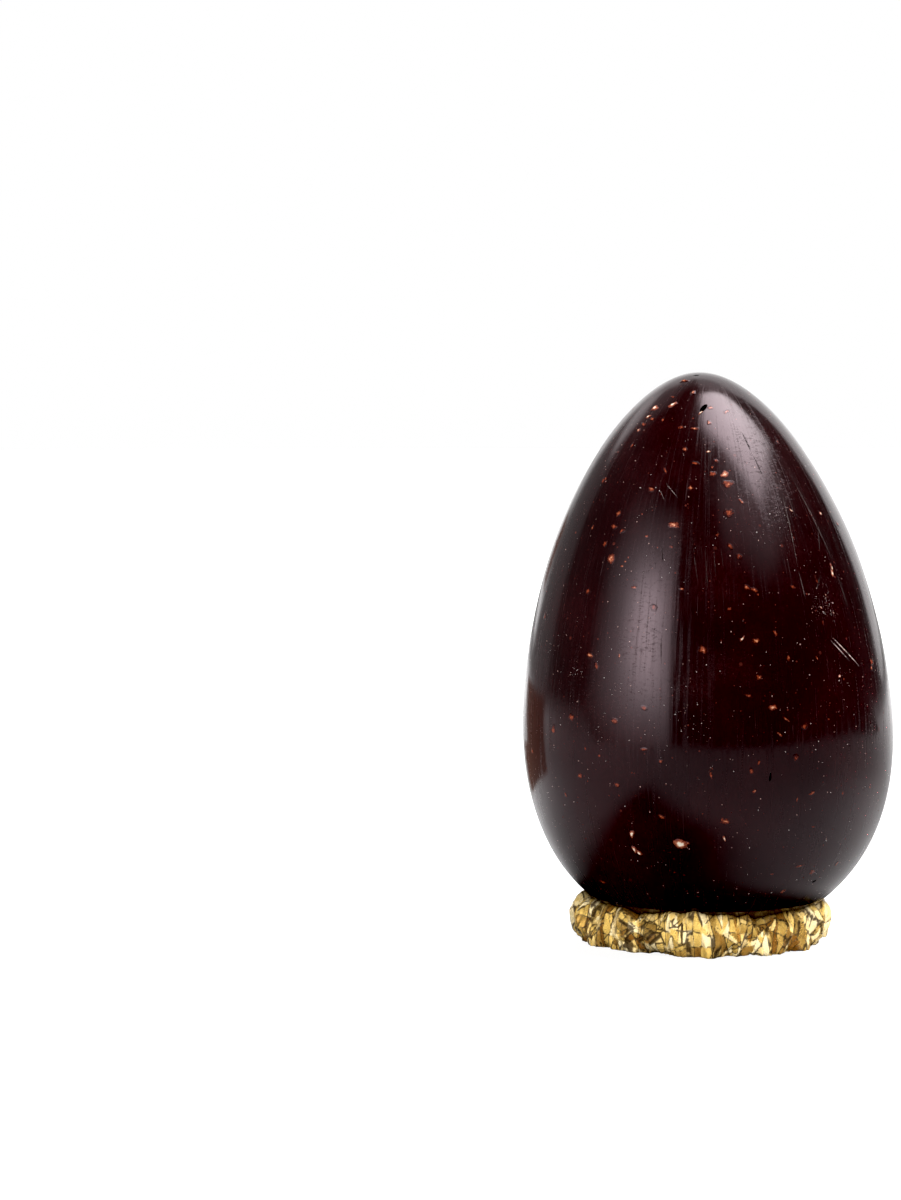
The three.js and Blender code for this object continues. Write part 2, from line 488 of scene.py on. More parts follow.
# %% Lamps
# Each lamp: where it is, what it looks at, its two sides, its power, and its spread in degrees.
LAMPS = {
    "overhead_lamp": ((-0.05, 1.0, 1.1), (-0.05, 1.0, 0.0), (1.8, 0.9), 54.0, 80),
    "side_lamp": ((0.50, 0.15, 0.60), (0.12, 0.02, 0.0), (0.12, 0.12), 0.33, 28),
    "left_lamp": ((-0.42, -0.20, 0.50), (-0.42, -0.20, 0.0), (0.3, 0.3), 1.0, 120),
    "back_lamp": ((-0.14, 0.30, 0.50), (-0.14, 0.13, 0.0), (0.10, 0.10), 0.3, 36),
    "front_fill": ((-0.3, -1.5, 1.0), (0.0, 0.0, 0.08), (1.2, 1.2), 12.0, 180),
    "foil_fill": ((0.25, -0.9, 0.40), (0.02, -0.04, 0.005), (0.4, 0.4), 16.0, 180),
}


def add_lamp(name, place, aim, sides, power, spread):
    """A soft rectangular lamp. Neither the camera nor a mirror reflection sees it."""
    data = bpy.data.lights.new(name, "AREA")
    data.shape = "RECTANGLE"
    data.size, data.size_y = sides
    data.energy = power
    data.spread = np.radians(spread)
    lamp = bpy.data.objects.new(name, data)
    lamp.location = place
    lamp.rotation_mode = "QUATERNION"
    lamp.rotation_quaternion = (Vector(aim) - Vector(place)).to_track_quat("-Z", "Y")
    lamp.visible_camera = False
    lamp.visible_glossy = False
    bpy.context.scene.collection.objects.link(lamp)
    return lamp


lamps = {name: add_lamp(name, *lamp) for name, lamp in LAMPS.items()}
lit_by = {name: bpy.data.collections.new("lit_by_" + name) for name in ("front_fill", "foil_fill")}
for name, lit_pieces in lit_by.items():
    lamps[name].light_linking.receiver_collection = lit_pieces
print(len(lamps), "lamps,", len(lit_by), "of them for the object alone")

# %% [markdown]
# ## Meshes from grids
#
# Every piece here is worked out as whole numpy arrays: a grid of points whose rows and
# columns follow the shape, and faces that join each point to its neighbours. One helper puts
# the arrays into a mesh, gives it its finish, and lets it ride on the model's only body.


# %% Mesh helpers
def grid_faces(rows, columns, rows_close=False):
    """Four-sided faces of a grid whose columns close on themselves, and its rows if asked."""
    row = np.arange(rows if rows_close else rows - 1)[:, None]
    column = np.arange(columns)[None, :]
    next_row, next_column = (row + 1) % rows, (column + 1) % columns
    corners = [(row, column), (row, next_column), (next_row, next_column), (next_row, column)]
    return np.stack([r * columns + c for r, c in corners], -1).reshape(-1, 4)


def fan_faces(centre, ring):
    """Triangles from one point to each side of a closed ring of points."""
    after = np.roll(ring, -1)
    return np.stack([np.full_like(ring, centre), ring, after], -1)


def add_piece(name, points, faces, material, slot, **features):
    """A smooth mesh from points in mm. Features are numbers kept at every point."""
    mesh = bpy.data.meshes.new(name)
    mesh.from_pydata(points.reshape(-1, 3) * MM, [], faces)
    mesh.shade_smooth()
    for feature, values in features.items():
        layer = mesh.attributes.new(feature, "FLOAT", "POINT")
        layer.data.foreach_set("value", np.ravel(values).astype(np.float32))
    mesh.materials.append(material)
    piece = bpy.data.objects.new(name, mesh)
    bpy.context.scene.collection.objects.link(piece)
    lit_by["front_fill"].objects.link(piece)
    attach(piece, "root")
    triangles = sum(len(face) - 2 for face in faces)
    print(name, "has", triangles, "triangles")
    return piece


print("mesh helpers ready")

# %% [markdown]
# ## The egg's form
#
# The outline is a circle stretched along its axis and multiplied by a cubic that makes it
# broad below and narrow above. A profile drawn by hand would do too, but a formula has a
# smooth slope everywhere, which a polished surface needs. It is the same rule as the solid
# model's, so that the fine surface lies on the solid.

# %% The egg's outline
EGG_WIDTH = 120.0
EGG_HEIGHT = 183.0
EGG_SWELL = (-0.257, 0.061, -0.064)
EGG_LEAN = np.radians(2.1)
POLE_ABOVE_TABLE = 1.0


def swell(u):
    """1 plus a cubic in u, which runs from -1 at the broad end to 1 at the tip."""
    first, second, third = EGG_SWELL
    return 1 + first * u + second * u**2 + third * u**3


def swell_slope(u):
    """How fast the swell changes with u."""
    first, second, third = EGG_SWELL
    return first + 2 * second * u + 3 * third * u**2


scan = np.linspace(-1, 1, 2001)
scan_outline = np.sqrt(1 - scan**2) * swell(scan)
WIDEST = scan_outline.argmax()
RADIUS_SCALE = EGG_WIDTH / 2 / scan_outline[WIDEST]
PIVOT = EGG_HEIGHT / 2 * (1 + scan[WIDEST])


def egg_outline(turn):
    """Radius and height at an angle from the broad end, and how fast each changes with it.

    Radius is the sine of the angle times the swell, height half the length times 1 - cosine.
    """
    u = -np.cos(turn)
    radius = RADIUS_SCALE * np.sin(turn) * swell(u)
    height = EGG_HEIGHT / 2 * (1 + u)
    radius_rate = RADIUS_SCALE * (np.cos(turn) * swell(u) + np.sin(turn) ** 2 * swell_slope(u))
    height_rate = EGG_HEIGHT / 2 * np.sin(turn)
    return radius, height, radius_rate, height_rate


def turn_at(height):
    """The angle from the broad end at which the outline has this height."""
    return np.arccos(1 - 2 * np.asarray(height) / EGG_HEIGHT)


print("widest", round(PIVOT, 1), "mm above the broad end")

# %% [markdown]
# A hand-finished egg isn't perfect: a few long, very shallow waves bend the edges of the
# reflections just enough to look real. The surface is a function of two angles, one round the
# egg and one from its broad end to its tip, and of how far outside the skin a point lies.

# %% The egg's surface
WAVE_COUNT = 12
WAVE_LENGTHS = (24.0, 75.0)
WAVE_STEEPNESS = 0.0008
FLAT_SHOULDER = (-12.0, 0.0, 176.0)
FLAT_SPREAD = 14.0
FLAT_DEPTH = 0.55

wave_random = np.random.default_rng(7)
wave_directions = wave_random.normal(size=(WAVE_COUNT, 3))
wave_directions /= np.linalg.norm(wave_directions, axis=1)[:, None]
wave_lengths = wave_random.uniform(*WAVE_LENGTHS, WAVE_COUNT)
wave_phases = wave_random.uniform(0, 2 * np.pi, WAVE_COUNT)


def hand_finish(points):
    """The height in mm of long shallow waves that cross the egg in all directions.

    Each is a sine along its own direction, a small share of its length high. One shoulder is
    slightly flattened too, by a bell curve.
    """
    along = points @ wave_directions.T / wave_lengths
    waves = (WAVE_STEEPNESS * wave_lengths * np.sin(2 * np.pi * along + wave_phases)).sum(-1)
    away = np.linalg.norm(points - FLAT_SHOULDER, axis=-1)
    return waves - FLAT_DEPTH * np.exp(-((away / FLAT_SPREAD) ** 2) / 2)


def egg_point(around, turn, rise=0.0):
    """Points on the egg, in mm, a distance outside its hand-finished surface.

    The outline is turned round the axis, moved out along its own normal, and leaned over.
    """
    around, turn = np.broadcast_arrays(around, turn)
    radius, height, radius_rate, height_rate = egg_outline(turn)
    length = np.hypot(radius_rate, height_rate)
    out, up = height_rate / length, -radius_rate / length
    plain = np.stack([radius * np.cos(around), radius * np.sin(around), height], -1)
    rise = rise + hand_finish(plain)
    wide = radius + rise * out
    x, y, z = wide * np.cos(around), wide * np.sin(around), height + rise * up
    leaned_x = x * np.cos(EGG_LEAN) - (z - PIVOT) * np.sin(EGG_LEAN)
    leaned_z = x * np.sin(EGG_LEAN) + (z - PIVOT) * np.cos(EGG_LEAN)
    return np.stack([leaned_x, y, leaned_z + PIVOT + POLE_ABOVE_TABLE], -1)


def place_on_egg(direction, height, across=0.0, along=0.0, rise=0.0):
    """Points near a place on the egg, given by its direction in degrees and its height in mm.

    Across and along are mm over the skin, to the right and up, and rise is mm out of it.
    """
    turn = turn_at(height)
    radius, _, radius_rate, height_rate = egg_outline(turn)
    around = np.radians(direction) + across / radius
    return egg_point(around, turn + along / np.hypot(radius_rate, height_rate), rise)


print("tip at", egg_point(0.0, np.pi).round(1), "mm")

# %% [markdown]
# ## The chocolate's finish
#
# Dark chocolate is a deep maroon, nearly black. What makes it look alive are its marks: air
# holes, dulled places, wiping lines and freckles of nut. Each is one short function that
# gives a number from 0 to 1 for every point of the skin.
#
# A cast shell has a few tiny air holes where bubbles met the mould. Cutting them into the
# mesh would need a very fine grid there, so they are a mask with a bump at its edge. Inside
# the mask the chocolate is painted plain black, as painted shade.

# %% Air holes
# Each: direction, height, half its length, half its width, and its lean in degrees.
AIR_HOLES = (
    (-88.8, 172.0, 1.9, 0.75, 53),
    (-93.0, 182.2, 0.9, 0.5, 0),
    (-75.9, 58.6, 1.4, 0.35, 85),
    (-52.0, 22.0, 0.9, 0.5, 20),
)
HOLE_EDGE = (1.2, 0.7)


def hole_axes(direction, height, lean):
    """An air hole's centre in mm, and the directions of its long and short side on the skin."""
    centre = place_on_egg(direction, height)
    across = place_on_egg(direction, height, across=0.1) - centre
    along = place_on_egg(direction, height, along=0.1) - centre
    across, along = across / np.linalg.norm(across), along / np.linalg.norm(along)
    angle = np.radians(lean)
    long_side = across * np.cos(angle) + along * np.sin(angle)
    return centre, long_side, along * np.cos(angle) - across * np.sin(angle)


def air_holes(recipe, place):
    """1 inside each hole: an oval, whose two distances as shares of its sides are squared."""
    mask = 0.0
    for direction, height, half_length, half_width, lean in AIR_HOLES:
        centre, long_side, short_side = hole_axes(direction, height, lean)
        off = recipe.vector("SUBTRACT", place, tuple(centre * MM))
        long_unit, short_unit = long_side / (half_length * MM), short_side / (half_width * MM)
        long_share = recipe.vector("DOT_PRODUCT", off, tuple(long_unit), output=1)
        short_share = recipe.vector("DOT_PRODUCT", off, tuple(short_unit), output=1)
        oval = long_share * long_share + short_share * short_share
        mask = recipe.rise(oval, *HOLE_EDGE) + mask
    return mask


print(len(AIR_HOLES), "air holes")

# %% [markdown]
# Hands and wrapping dull the polish in a few places, where most of the skin's fine nicks are.
# Each is a soft round spot, so that no edge shows.

# %% Dulled places
# Each: direction, height, reach in mm and strength.
DULLED_PLACES = (
    (-62, 160, 13, 1.0), (-60, 146, 11, 1.0), (-66, 135, 9, 0.6), (-114, 122, 12, 0.7),
    (-116, 102, 11, 0.9), (-115, 84, 10, 0.8), (-50, 108, 5, 0.8), (-136, 90, 10, 0.6),
)
DULLED_EDGE = (1.3, 0.4)


def dulled_places(recipe, place):
    """The strength of each place in its middle, falling to 0 with the distance from it."""
    mask = 0.0
    outer, inner = DULLED_EDGE
    for direction, height, reach, strength in DULLED_PLACES:
        centre = place_on_egg(direction, height) * MM
        away = recipe.vector("DISTANCE", place, tuple(centre), output=1)
        mask = recipe.rise(away, reach * outer * MM, reach * inner * MM) * strength + mask
    return mask


print(len(DULLED_PLACES), "dulled places")

# %% [markdown]
# A cloth leaves fine lines that run up and down the egg. Noise gives such lines when it is
# read at a place whose height is pressed together: what is round in the noise comes out long
# on the egg. The peaks of very fine noise, drawn out like this, are hair scratches.

# %% Wiping lines
HAIR_STRETCH = 45.0
HAIR_LEAN = 0.8
# Noise: its size in mm, detail and roughness, and where its patches start and are full.
UPRIGHT_HAIRS = (0.5, 0.0, 0.5, 0.72, 0.80)
LEANING_HAIRS = (0.6, 0.0, 0.5, 0.76, 0.83)
UPRIGHT_PATCHES = (13.0, 1.0, 0.5, 0.52, 0.66)
LEANING_PATCHES = (11.0, 1.0, 0.5, 0.55, 0.66)


def streak_place(recipe, x, y, z, stretch, lean=0.0):
    """The direction round the axis, on a circle of the egg's size, and the height / stretch."""
    round_x, round_y, _ = recipe.split(recipe.vector("NORMALIZE", recipe.join(x, y, 0.0)))
    reach = EGG_WIDTH / 2 * MM
    return recipe.join(round_x * reach + z * lean, round_y * reach, z * (1 / stretch))


def hair_scratches(recipe, x, y, z):
    """1 on hair-fine lines, upright and leaning ones, each kind in patches of its own."""
    upright = streak_place(recipe, x, y, z, HAIR_STRETCH)
    leaning = streak_place(recipe, x, y, z, HAIR_STRETCH, HAIR_LEAN)
    upright_there = recipe.patches(recipe.join(x, y, z), *UPRIGHT_PATCHES)
    leaning_there = recipe.patches(recipe.join(y, z, x), *LEANING_PATCHES)
    upright_hairs = recipe.patches(upright, *UPRIGHT_HAIRS) * upright_there
    return upright_hairs + recipe.patches(leaning, *LEANING_HAIRS) * leaning_there


print("hair scratches are stretched", HAIR_STRETCH, "times")

# %% [markdown]
# Tiny crumbs of nut lie under the whole skin, far too many to model. A pattern of cells gives
# each cell one dot and one random number, and a share of the cells stays empty.

# %% Freckles
# Each kind: its cells' size and its dots' radius in mm, the share of empty cells, strength.
RED_FRECKLES = ((6.5, 0.75, 0.50, 0.5), (3.4, 0.40, 0.55, 0.8), (1.9, 0.26, 0.60, 0.9))
PALE_FRECKLES = ((3.1, 0.24, 0.60, 1.6), (1.7, 0.17, 0.72, 1.6))
DOT_CORE = 0.4


def freckles(recipe, place, kinds):
    """The strength in each dot's core, less in cells whose random number is near the share."""
    mask = 0.0
    for cell, radius, empty, strength in kinds:
        distance, chance = recipe.cells(place, cell)
        reach = radius / cell
        dots = recipe.rise(distance, reach, reach * DOT_CORE) * recipe.rise(chance, empty, 1.0)
        mask = dots * strength + mask
    return mask


print(len(RED_FRECKLES), "kinds of red freckles,", len(PALE_FRECKLES), "of pale ones")

# %% [markdown]
# All marks are gathered by name, together with the plain grain and the lines that they are
# made from, so that a finish can be written as a sum of marks times weights.

# %% Skin marks
# Noise again. The first three are used without patches.
GRAIN = (0.9, 5.0, 0.85)
LINES = (0.9, 2.0, 0.6)
WIPES = (7.0, 2.0, 0.6)
SMEARS = (22.0, 2.0, 0.5, 0.50, 0.72)
LINE_STRETCH, WIPE_STRETCH = 30.0, 8.0
DULL_LINES = (0.42, 0.72)
SCUFFED_GRAIN = (0.50, 0.68)
NICK_SIZE, NICK_STRETCH = 0.40, 0.4
NICKED_CELLS = (0.62, 1.0)
EVERYWHERE = 0.15


def skin_marks(recipe, place):
    """Every mark on the skin by name, mostly from 0 to 1."""
    x, y, z = recipe.split(place)
    grain = recipe.noise(place, *GRAIN)
    lines = recipe.noise(streak_place(recipe, x, y, z, LINE_STRETCH), *LINES)
    smears = recipe.patches(place, *SMEARS)
    dulled = dulled_places(recipe, place) * (1 - EVERYWHERE) + EVERYWHERE
    flat_place = recipe.join(x * NICK_STRETCH, y * NICK_STRETCH, z)
    chance = recipe.cells(flat_place, NICK_SIZE)[1]
    return {
        "grain": grain,
        "lines": lines,
        "dull lines": recipe.rise(lines, *DULL_LINES),
        "wipes": recipe.noise(streak_place(recipe, x, y, z, WIPE_STRETCH), *WIPES),
        "smears": smears,
        "scuffs": recipe.rise(grain, *SCUFFED_GRAIN) * (smears * 0.5 + EVERYWHERE),
        "nicks": recipe.rise(chance, *NICKED_CELLS) * dulled,
        "hairs": hair_scratches(recipe, x, y, z),
        "holes": air_holes(recipe, place),
    }


print("scuffs and nicks show", EVERYWHERE, "of their strength everywhere")

# %% [markdown]
# The polish has two parts: a sharp mirror reflection, and a weak, wide haze from finger marks
# and fine wiping lines. The base layer carries the sharp part, because the bump can bend it,
# and the coat carries the haze.

# %% Chocolate
DEEP_MAROON = (0.0085, 0.0012, 0.0015, 1.0)
WARM_MAROON = (0.0245, 0.0040, 0.0046, 1.0)
FRECKLE_RED = (0.150, 0.030, 0.020, 1.0)
FRECKLE_PALE = (0.520, 0.330, 0.290, 1.0)
SCRATCH_PALE = (0.16, 0.09, 0.085, 1.0)
POLISH = {
    "IOR": 1.5,
    "Specular_Tint": (1.0, 0.77, 0.845, 1.0),
    "Coat_Roughness": 0.42,
}
CLOUDS = (28.0, 3.0, 0.6, 0.35, 0.70)
MOTTLE = (1.1, 3.0, 0.75, 0.38, 0.68)
# What each mark adds to the roughness, to the haze, and to the relief in mm.
ROUGHENED = {"dull lines": 0.19, "wipes": 0.05, "scuffs": 0.18, "hairs": 0.20, "nicks": 0.20}
HAZED = {"wipes": 0.06, "smears": 0.04, "scuffs": 0.05}
RELIEF = {"lines": 0.0055, "grain": 0.0065, "wipes": 0.012, "holes": -0.4}
POLISHED_ROUGHNESS = 0.06
LEAST_HAZE = 0.015


def weighed(marks, weights, start=0.0):
    """The start plus each named mark times its weight."""
    return sum((marks[name] * weight for name, weight in weights.items()), start)


def chocolate_colour(recipe, place, marks):
    """Maroon, warmer in clouds and mottled, then freckles, then a trace of pale scratches."""
    cloud = recipe.patches(place, *CLOUDS)
    warm = cloud * 0.30 + recipe.patches(place, *MOTTLE) * (cloud * 0.45 + 0.15)
    colour = recipe.mix(warm, DEEP_MAROON, WARM_MAROON)
    colour = recipe.mix(freckles(recipe, place, RED_FRECKLES), colour, FRECKLE_RED)
    colour = recipe.mix(freckles(recipe, place, PALE_FRECKLES), colour, FRECKLE_PALE)
    return recipe.mix(marks["hairs"] * 0.05 + marks["scuffs"] * 0.06, colour, SCRATCH_PALE)


def chocolate_finish(recipe):
    """Colour, roughness, haze, relief in mm, and the holes where painted shade goes."""
    place = recipe.place()
    marks = skin_marks(recipe, place)
    colour = chocolate_colour(recipe, place, marks)
    roughness = weighed(marks, ROUGHENED, POLISHED_ROUGHNESS)
    haze = weighed(marks, HAZED, LEAST_HAZE)
    return colour, roughness, haze, weighed(marks, RELIEF), marks["holes"]


def chocolate_material():
    material, recipe = new_material("dark_chocolate")
    colour, roughness, haze, relief, holes = chocolate_finish(recipe)
    recipe.surface(
        # Painted shade in the air holes.
        holes=holes,
        Base_Color=colour,
        Roughness=roughness,
        Normal=recipe.bump(relief),
        Coat_Weight=haze,
        **POLISH,
    )
    return material


chocolate = chocolate_material()
print("chocolate finish has", len(chocolate.node_tree.nodes), "nodes")

# %% [markdown]
# ## The fine egg
#
# The solid's facets would show in the reflections, so a fine surface replaces it: rows of
# points from the broad end to the tip, each row a closed ring, and one point at each pole.

# %% Egg mesh
EGG_ROWS = 238
EGG_COLUMNS = 400


def make_egg():
    """Rows at equal steps of the angle from the broad end, columns at equal steps round it."""
    turn = np.linspace(0, np.pi, EGG_ROWS + 2)
    around = np.linspace(0, 2 * np.pi, EGG_COLUMNS, endpoint=False)
    grid_turn, grid_around = np.meshgrid(turn[1:-1], around, indexing="ij")
    all_turns = np.concatenate([grid_turn.ravel(), [0.0, np.pi]])
    all_around = np.concatenate([grid_around.ravel(), [0.0, 0.0]])
    points = egg_point(all_around, all_turns)
    low_pole, tip = EGG_ROWS * EGG_COLUMNS, EGG_ROWS * EGG_COLUMNS + 1
    low_ring = np.arange(EGG_COLUMNS)
    top_ring = low_ring + (EGG_ROWS - 1) * EGG_COLUMNS
    faces = grid_faces(EGG_ROWS, EGG_COLUMNS).tolist()
    faces += fan_faces(low_pole, low_ring[::-1]).tolist() + fan_faces(tip, top_ring).tolist()
    egg = add_piece("egg_surface", points, faces, chocolate, "dark_chocolate")
    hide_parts("egg")


make_egg()

# %% [markdown]
# ## Chopped hazelnuts
#
# A nut piece under the skin lifts it a little, and shows through it red-brown. A piece that
# broke the skin shows bare and cream. Each could be a stone stuck in the egg, but its buried
# part would be wasted. So each is a low dome with its own uneven outline, a fan of rings laid
# over the egg by the egg's own formula, with its rim tucked just under the skin.

# %% Nut shapes
RIM_TUCKED = 0.03
FULL_RISE_LENGTH = 2.5


def uneven_outline(random, count, spokes, unevenness):
    """Each chip's own outline: 1 plus a few waves round it, the faster the smaller."""
    angle = 2 * np.pi * np.arange(spokes) / spokes
    waves = np.arange(2, 7)[:, None]
    size = random.normal(size=(count, 5, 1)) * unevenness / waves
    phase = random.uniform(0, 2 * np.pi, (count, 5, 1))
    return 1 + (size * np.cos(waves * angle + phase)).sum(1)


def chip_points(random, places, rings, spokes, rise, unevenness, cragginess):
    """Domes on the egg, as points and the share of the way from the middle to the outline.

    Each row of places is a chip's direction, height, length, width as a share of its length,
    and lean in degrees, which is above 0 where it rises to the right. A ring's height is the
    rise times 1 minus its share to the fourth power, less for a chip under FULL_RISE_LENGTH.
    """
    direction, height, length, narrow, lean = (column[:, None, None] for column in places.T)
    count = len(places)
    share = np.linspace(0, 1, rings + 1)[None, :, None]
    angle = 2 * np.pi * np.arange(spokes)[None, None, :] / spokes
    outline = uneven_outline(random, count, spokes, unevenness)[:, None, :]
    lean = np.radians(lean)
    long_way = share * outline * length / 2 * np.cos(angle)
    short_way = share * outline * length / 2 * narrow * np.sin(angle)
    across = long_way * np.cos(lean) - short_way * np.sin(lean)
    along = long_way * np.sin(lean) + short_way * np.cos(lean)
    crags = 1 + cragginess * random.normal(size=(count, rings + 1, spokes))
    crags[:, 0, :] = 1
    full_rise = rise * np.minimum(1, length / FULL_RISE_LENGTH)
    dome = full_rise * (1 - share**4) * crags - RIM_TUCKED
    return place_on_egg(direction, height, across, along, dome), share + 0 * across


def chip_faces(count, rings, spokes):
    """Faces of domes whose middle ring is one point each: a fan, then four-sided faces."""
    ring = np.arange(spokes)
    middle = fan_faces(0, ring + 1)
    sides = grid_faces(rings, spokes)[:, ::-1] + 1
    step = np.arange(count)[:, None, None] * (rings * spokes + 1)
    fans = (middle[None] + step).reshape(-1, 3)
    return fans.tolist() + (sides[None] + step).reshape(-1, 4).tolist()


def any_shapes(random, places):
    """Adds a width share and a lean to rows of direction, height and length."""
    narrow = random.uniform(0.4, 0.95, len(places))
    return np.column_stack([places, narrow, random.uniform(0, 180, len(places))])


def add_chips(name, random, places, tone, **shape):
    """Tone is kept at every point, and core too: 1 in a chip's middle and 0 at its rim."""
    points, share = chip_points(random, places, **shape)
    rings, spokes = shape["rings"], shape["spokes"]
    once = np.ones((rings + 1, spokes), bool)
    once[0, 1:] = False
    features = {"core": 1 - share, "tone": tone[:, None, None] + 0 * share}
    features = {key: value[:, once] for key, value in features.items()}
    faces = chip_faces(len(places), rings, spokes)
    add_piece(name, points[:, once], faces, hazelnut, "hazelnut", **features)


print("chips of 3 rings and 9 spokes have", len(chip_faces(1, 3, 9)), "faces")

# %% [markdown]
# A nut's colour runs with its tone: dark red where much chocolate covers it, then chestnut,
# and cream where it is bare. Towards the rim it fades into the chocolate, whose formula it
# shares, so no edge shows.

# %% Nut finish
NUT_DEEP_RED = (0.055, 0.008, 0.006, 1.0)
NUT_CHESTNUT = (0.270, 0.045, 0.016, 1.0)
NUT_TAN = (0.760, 0.320, 0.160, 1.0)
NUT_CREAM = (0.950, 0.830, 0.680, 1.0)
TO_CHESTNUT, TO_TAN, TO_CREAM = (0.20, 0.60), (0.66, 0.96), (0.82, 0.98)
GRIT = (0.6, 3.0, 0.7)
GRIT_RELIEF = 0.05
BARE_TONES = (0.7, 0.9)
HEART = (0.15, 0.90)
UNCOVERED = (0.16, 0.90)


def nut_material():
    """Warmth is tone, heart and grit, each times a weight, and picks among the four colours."""
    material, recipe = new_material("hazelnut")
    chocolate_base, roughness, haze, relief, _ = chocolate_finish(recipe)
    core, tone = recipe.feature("core"), recipe.feature("tone")
    grit = recipe.noise(recipe.place(), *GRIT)
    bare = recipe.rise(tone, *BARE_TONES)
    heart = recipe.rise(core, *HEART)
    warmth = tone * 0.50 + heart * 0.40 + (grit - 0.5) * 1.8 * (1.0 - bare * 0.7) + bare * 0.15
    colour = recipe.mix(recipe.rise(warmth, *TO_CHESTNUT), NUT_DEEP_RED, NUT_CHESTNUT)
    colour = recipe.mix(recipe.rise(warmth, *TO_TAN), colour, NUT_TAN)
    colour = recipe.mix(recipe.rise(warmth, *TO_CREAM) * bare, colour, NUT_CREAM)
    shown = recipe.rise(core + (grit - 0.5) * 1.4 + bare * 0.4, *UNCOVERED)
    recipe.surface(
        Base_Color=recipe.mix(shown, chocolate_base, colour),
        Roughness=roughness + shown * bare * 0.5 + shown * 0.05,
        Normal=recipe.bump(relief + grit * GRIT_RELIEF),
        Coat_Weight=haze * (1.0 - shown * bare),
        **POLISH,
    )
    return material


hazelnut = nut_material()
print("hazelnut finish has", len(hazelnut.node_tree.nodes), "nodes")

# %% [markdown]
# The nuts that face the viewer have places of their own, each listed. A rule spreads more
# all round the egg, the same as in the solid model, so that the two agree. Specks too small to
# place are scattered all over.

# %% Nuts under the skin
# Each: direction, height, length, width share, lean and tone.
SHOWN_NUTS = np.array([
    (-121.3, 168.8, 2.4, 0.60, 80, 0.45), (-96.2, 165.8, 4.0, 0.35, -5, 0.45),
    (-106.1, 166.3, 2.4, 0.80, 0, 0.25), (-131.1, 169.2, 2.4, 0.80, 0, 0.35),
    (-136.8, 167.4, 3.2, 0.60, -40, 0.30), (-102.0, 159.5, 2.4, 0.70, 0, 0.72),
    (-85.1, 155.6, 2.0, 0.70, -40, 0.42), (-87.7, 151.6, 2.8, 0.90, 0, 0.42),
    (-81.8, 151.4, 3.2, 0.75, 35, 0.85), (-81.1, 148.4, 4.4, 0.85, 0, 0.52),
    (-76.3, 142.9, 2.8, 0.45, -55, 0.60), (-98.6, 147.6, 2.2, 0.90, 0, 0.68),
    (-117.1, 147.5, 2.8, 0.80, 30, 0.66), (-111.7, 153.3, 3.2, 0.35, -55, 0.55),
    (-131.2, 140.1, 3.2, 0.55, 50, 0.68), (-147.1, 150.5, 2.0, 0.80, 0, 0.66),
    (-137.6, 161.0, 3.2, 0.45, 80, 0.25), (-82.5, 139.6, 4.4, 0.80, 0, 0.30),
    (-83.5, 129.5, 3.2, 0.50, -50, 0.52), (-79.2, 116.9, 2.6, 0.80, -20, 0.62),
    (-76.7, 116.0, 3.2, 0.55, -25, 0.55), (-62.3, 116.1, 1.9, 0.80, -40, 0.68),
    (-85.8, 110.7, 2.0, 0.70, 0, 0.48), (-105.2, 136.5, 4.4, 0.55, -5, 0.78),
    (-115.9, 133.2, 1.6, 0.70, 0, 0.55), (-129.8, 126.3, 4.4, 0.75, -70, 0.76),
    (-123.4, 125.6, 1.4, 0.70, 0, 0.62), (-124.6, 124.2, 1.6, 0.80, 0, 0.66),
    (-143.7, 135.7, 2.4, 0.50, 75, 0.62), (-131.9, 136.2, 3.6, 0.60, 0, 0.28),
    (-134.4, 130.8, 3.2, 0.60, 80, 0.30), (-138.0, 116.2, 2.8, 0.80, 0, 0.36),
    (-101.5, 117.2, 2.6, 0.35, -10, 0.74), (-118.7, 117.7, 2.4, 0.60, 0, 0.50),
    (-136.8, 58.8, 2.6, 0.85, 0, 0.50), (-123.0, 56.8, 2.4, 0.80, 0, 0.36),
    (-108.4, 64.6, 2.0, 0.80, 0, 0.46), (-93.7, 60.0, 4.4, 0.28, -80, 0.42),
    (-81.7, 60.7, 2.4, 0.80, -40, 0.42), (-79.4, 63.2, 2.0, 0.60, 60, 0.42),
    (-80.8, 54.5, 2.4, 0.60, 40, 0.48), (-109.2, 47.0, 3.2, 0.50, -25, 0.56),
    (-89.6, 45.3, 4.4, 0.60, -15, 0.44), (-61.7, 52.1, 3.2, 0.50, 20, 0.42),
    (-66.9, 50.5, 2.4, 0.35, 80, 0.50), (-62.1, 28.4, 4.8, 0.28, 5, 0.50),
    (-43.1, 26.7, 3.6, 0.50, 65, 0.48), (-55.5, 25.6, 3.6, 0.90, 30, 0.36),
    (-65.7, 20.0, 3.6, 0.60, 0, 0.45), (-140.2, 23.2, 3.6, 0.50, -20, 0.50),
    (-77.9, 100.6, 2.8, 0.80, 0, 0.62), (-71.3, 102.5, 2.4, 0.60, -60, 0.40),
    (-94.9, 98.6, 4.0, 0.80, -15, 0.55), (-67.8, 94.6, 2.4, 0.60, 80, 0.50),
    (-57.4, 93.9, 1.8, 0.50, -60, 0.50), (-30.7, 88.0, 2.4, 0.60, 75, 0.45),
    (-74.3, 80.0, 3.4, 0.60, 0, 0.80), (-70.3, 76.1, 3.2, 0.30, -40, 0.70),
    (-72.6, 71.6, 3.2, 0.30, -40, 0.55), (-133.2, 96.7, 3.6, 0.60, -10, 0.70),
    (-122.0, 96.9, 1.6, 0.60, 80, 0.68), (-113.2, 81.1, 2.8, 0.75, 0, 0.44),
    (-122.9, 76.9, 3.0, 0.80, -20, 0.66), (-139.6, 77.0, 4.0, 0.70, 0, 0.25),
    (-148.4, 72.4, 4.4, 0.60, 80, 0.30), (-78.1, 89.5, 2.8, 0.80, 0, 0.50),
    (-82.6, 172.0, 2.4, 0.80, 0, 0.68), (-86.0, 167.5, 2.4, 0.80, 90, 0.62),
])
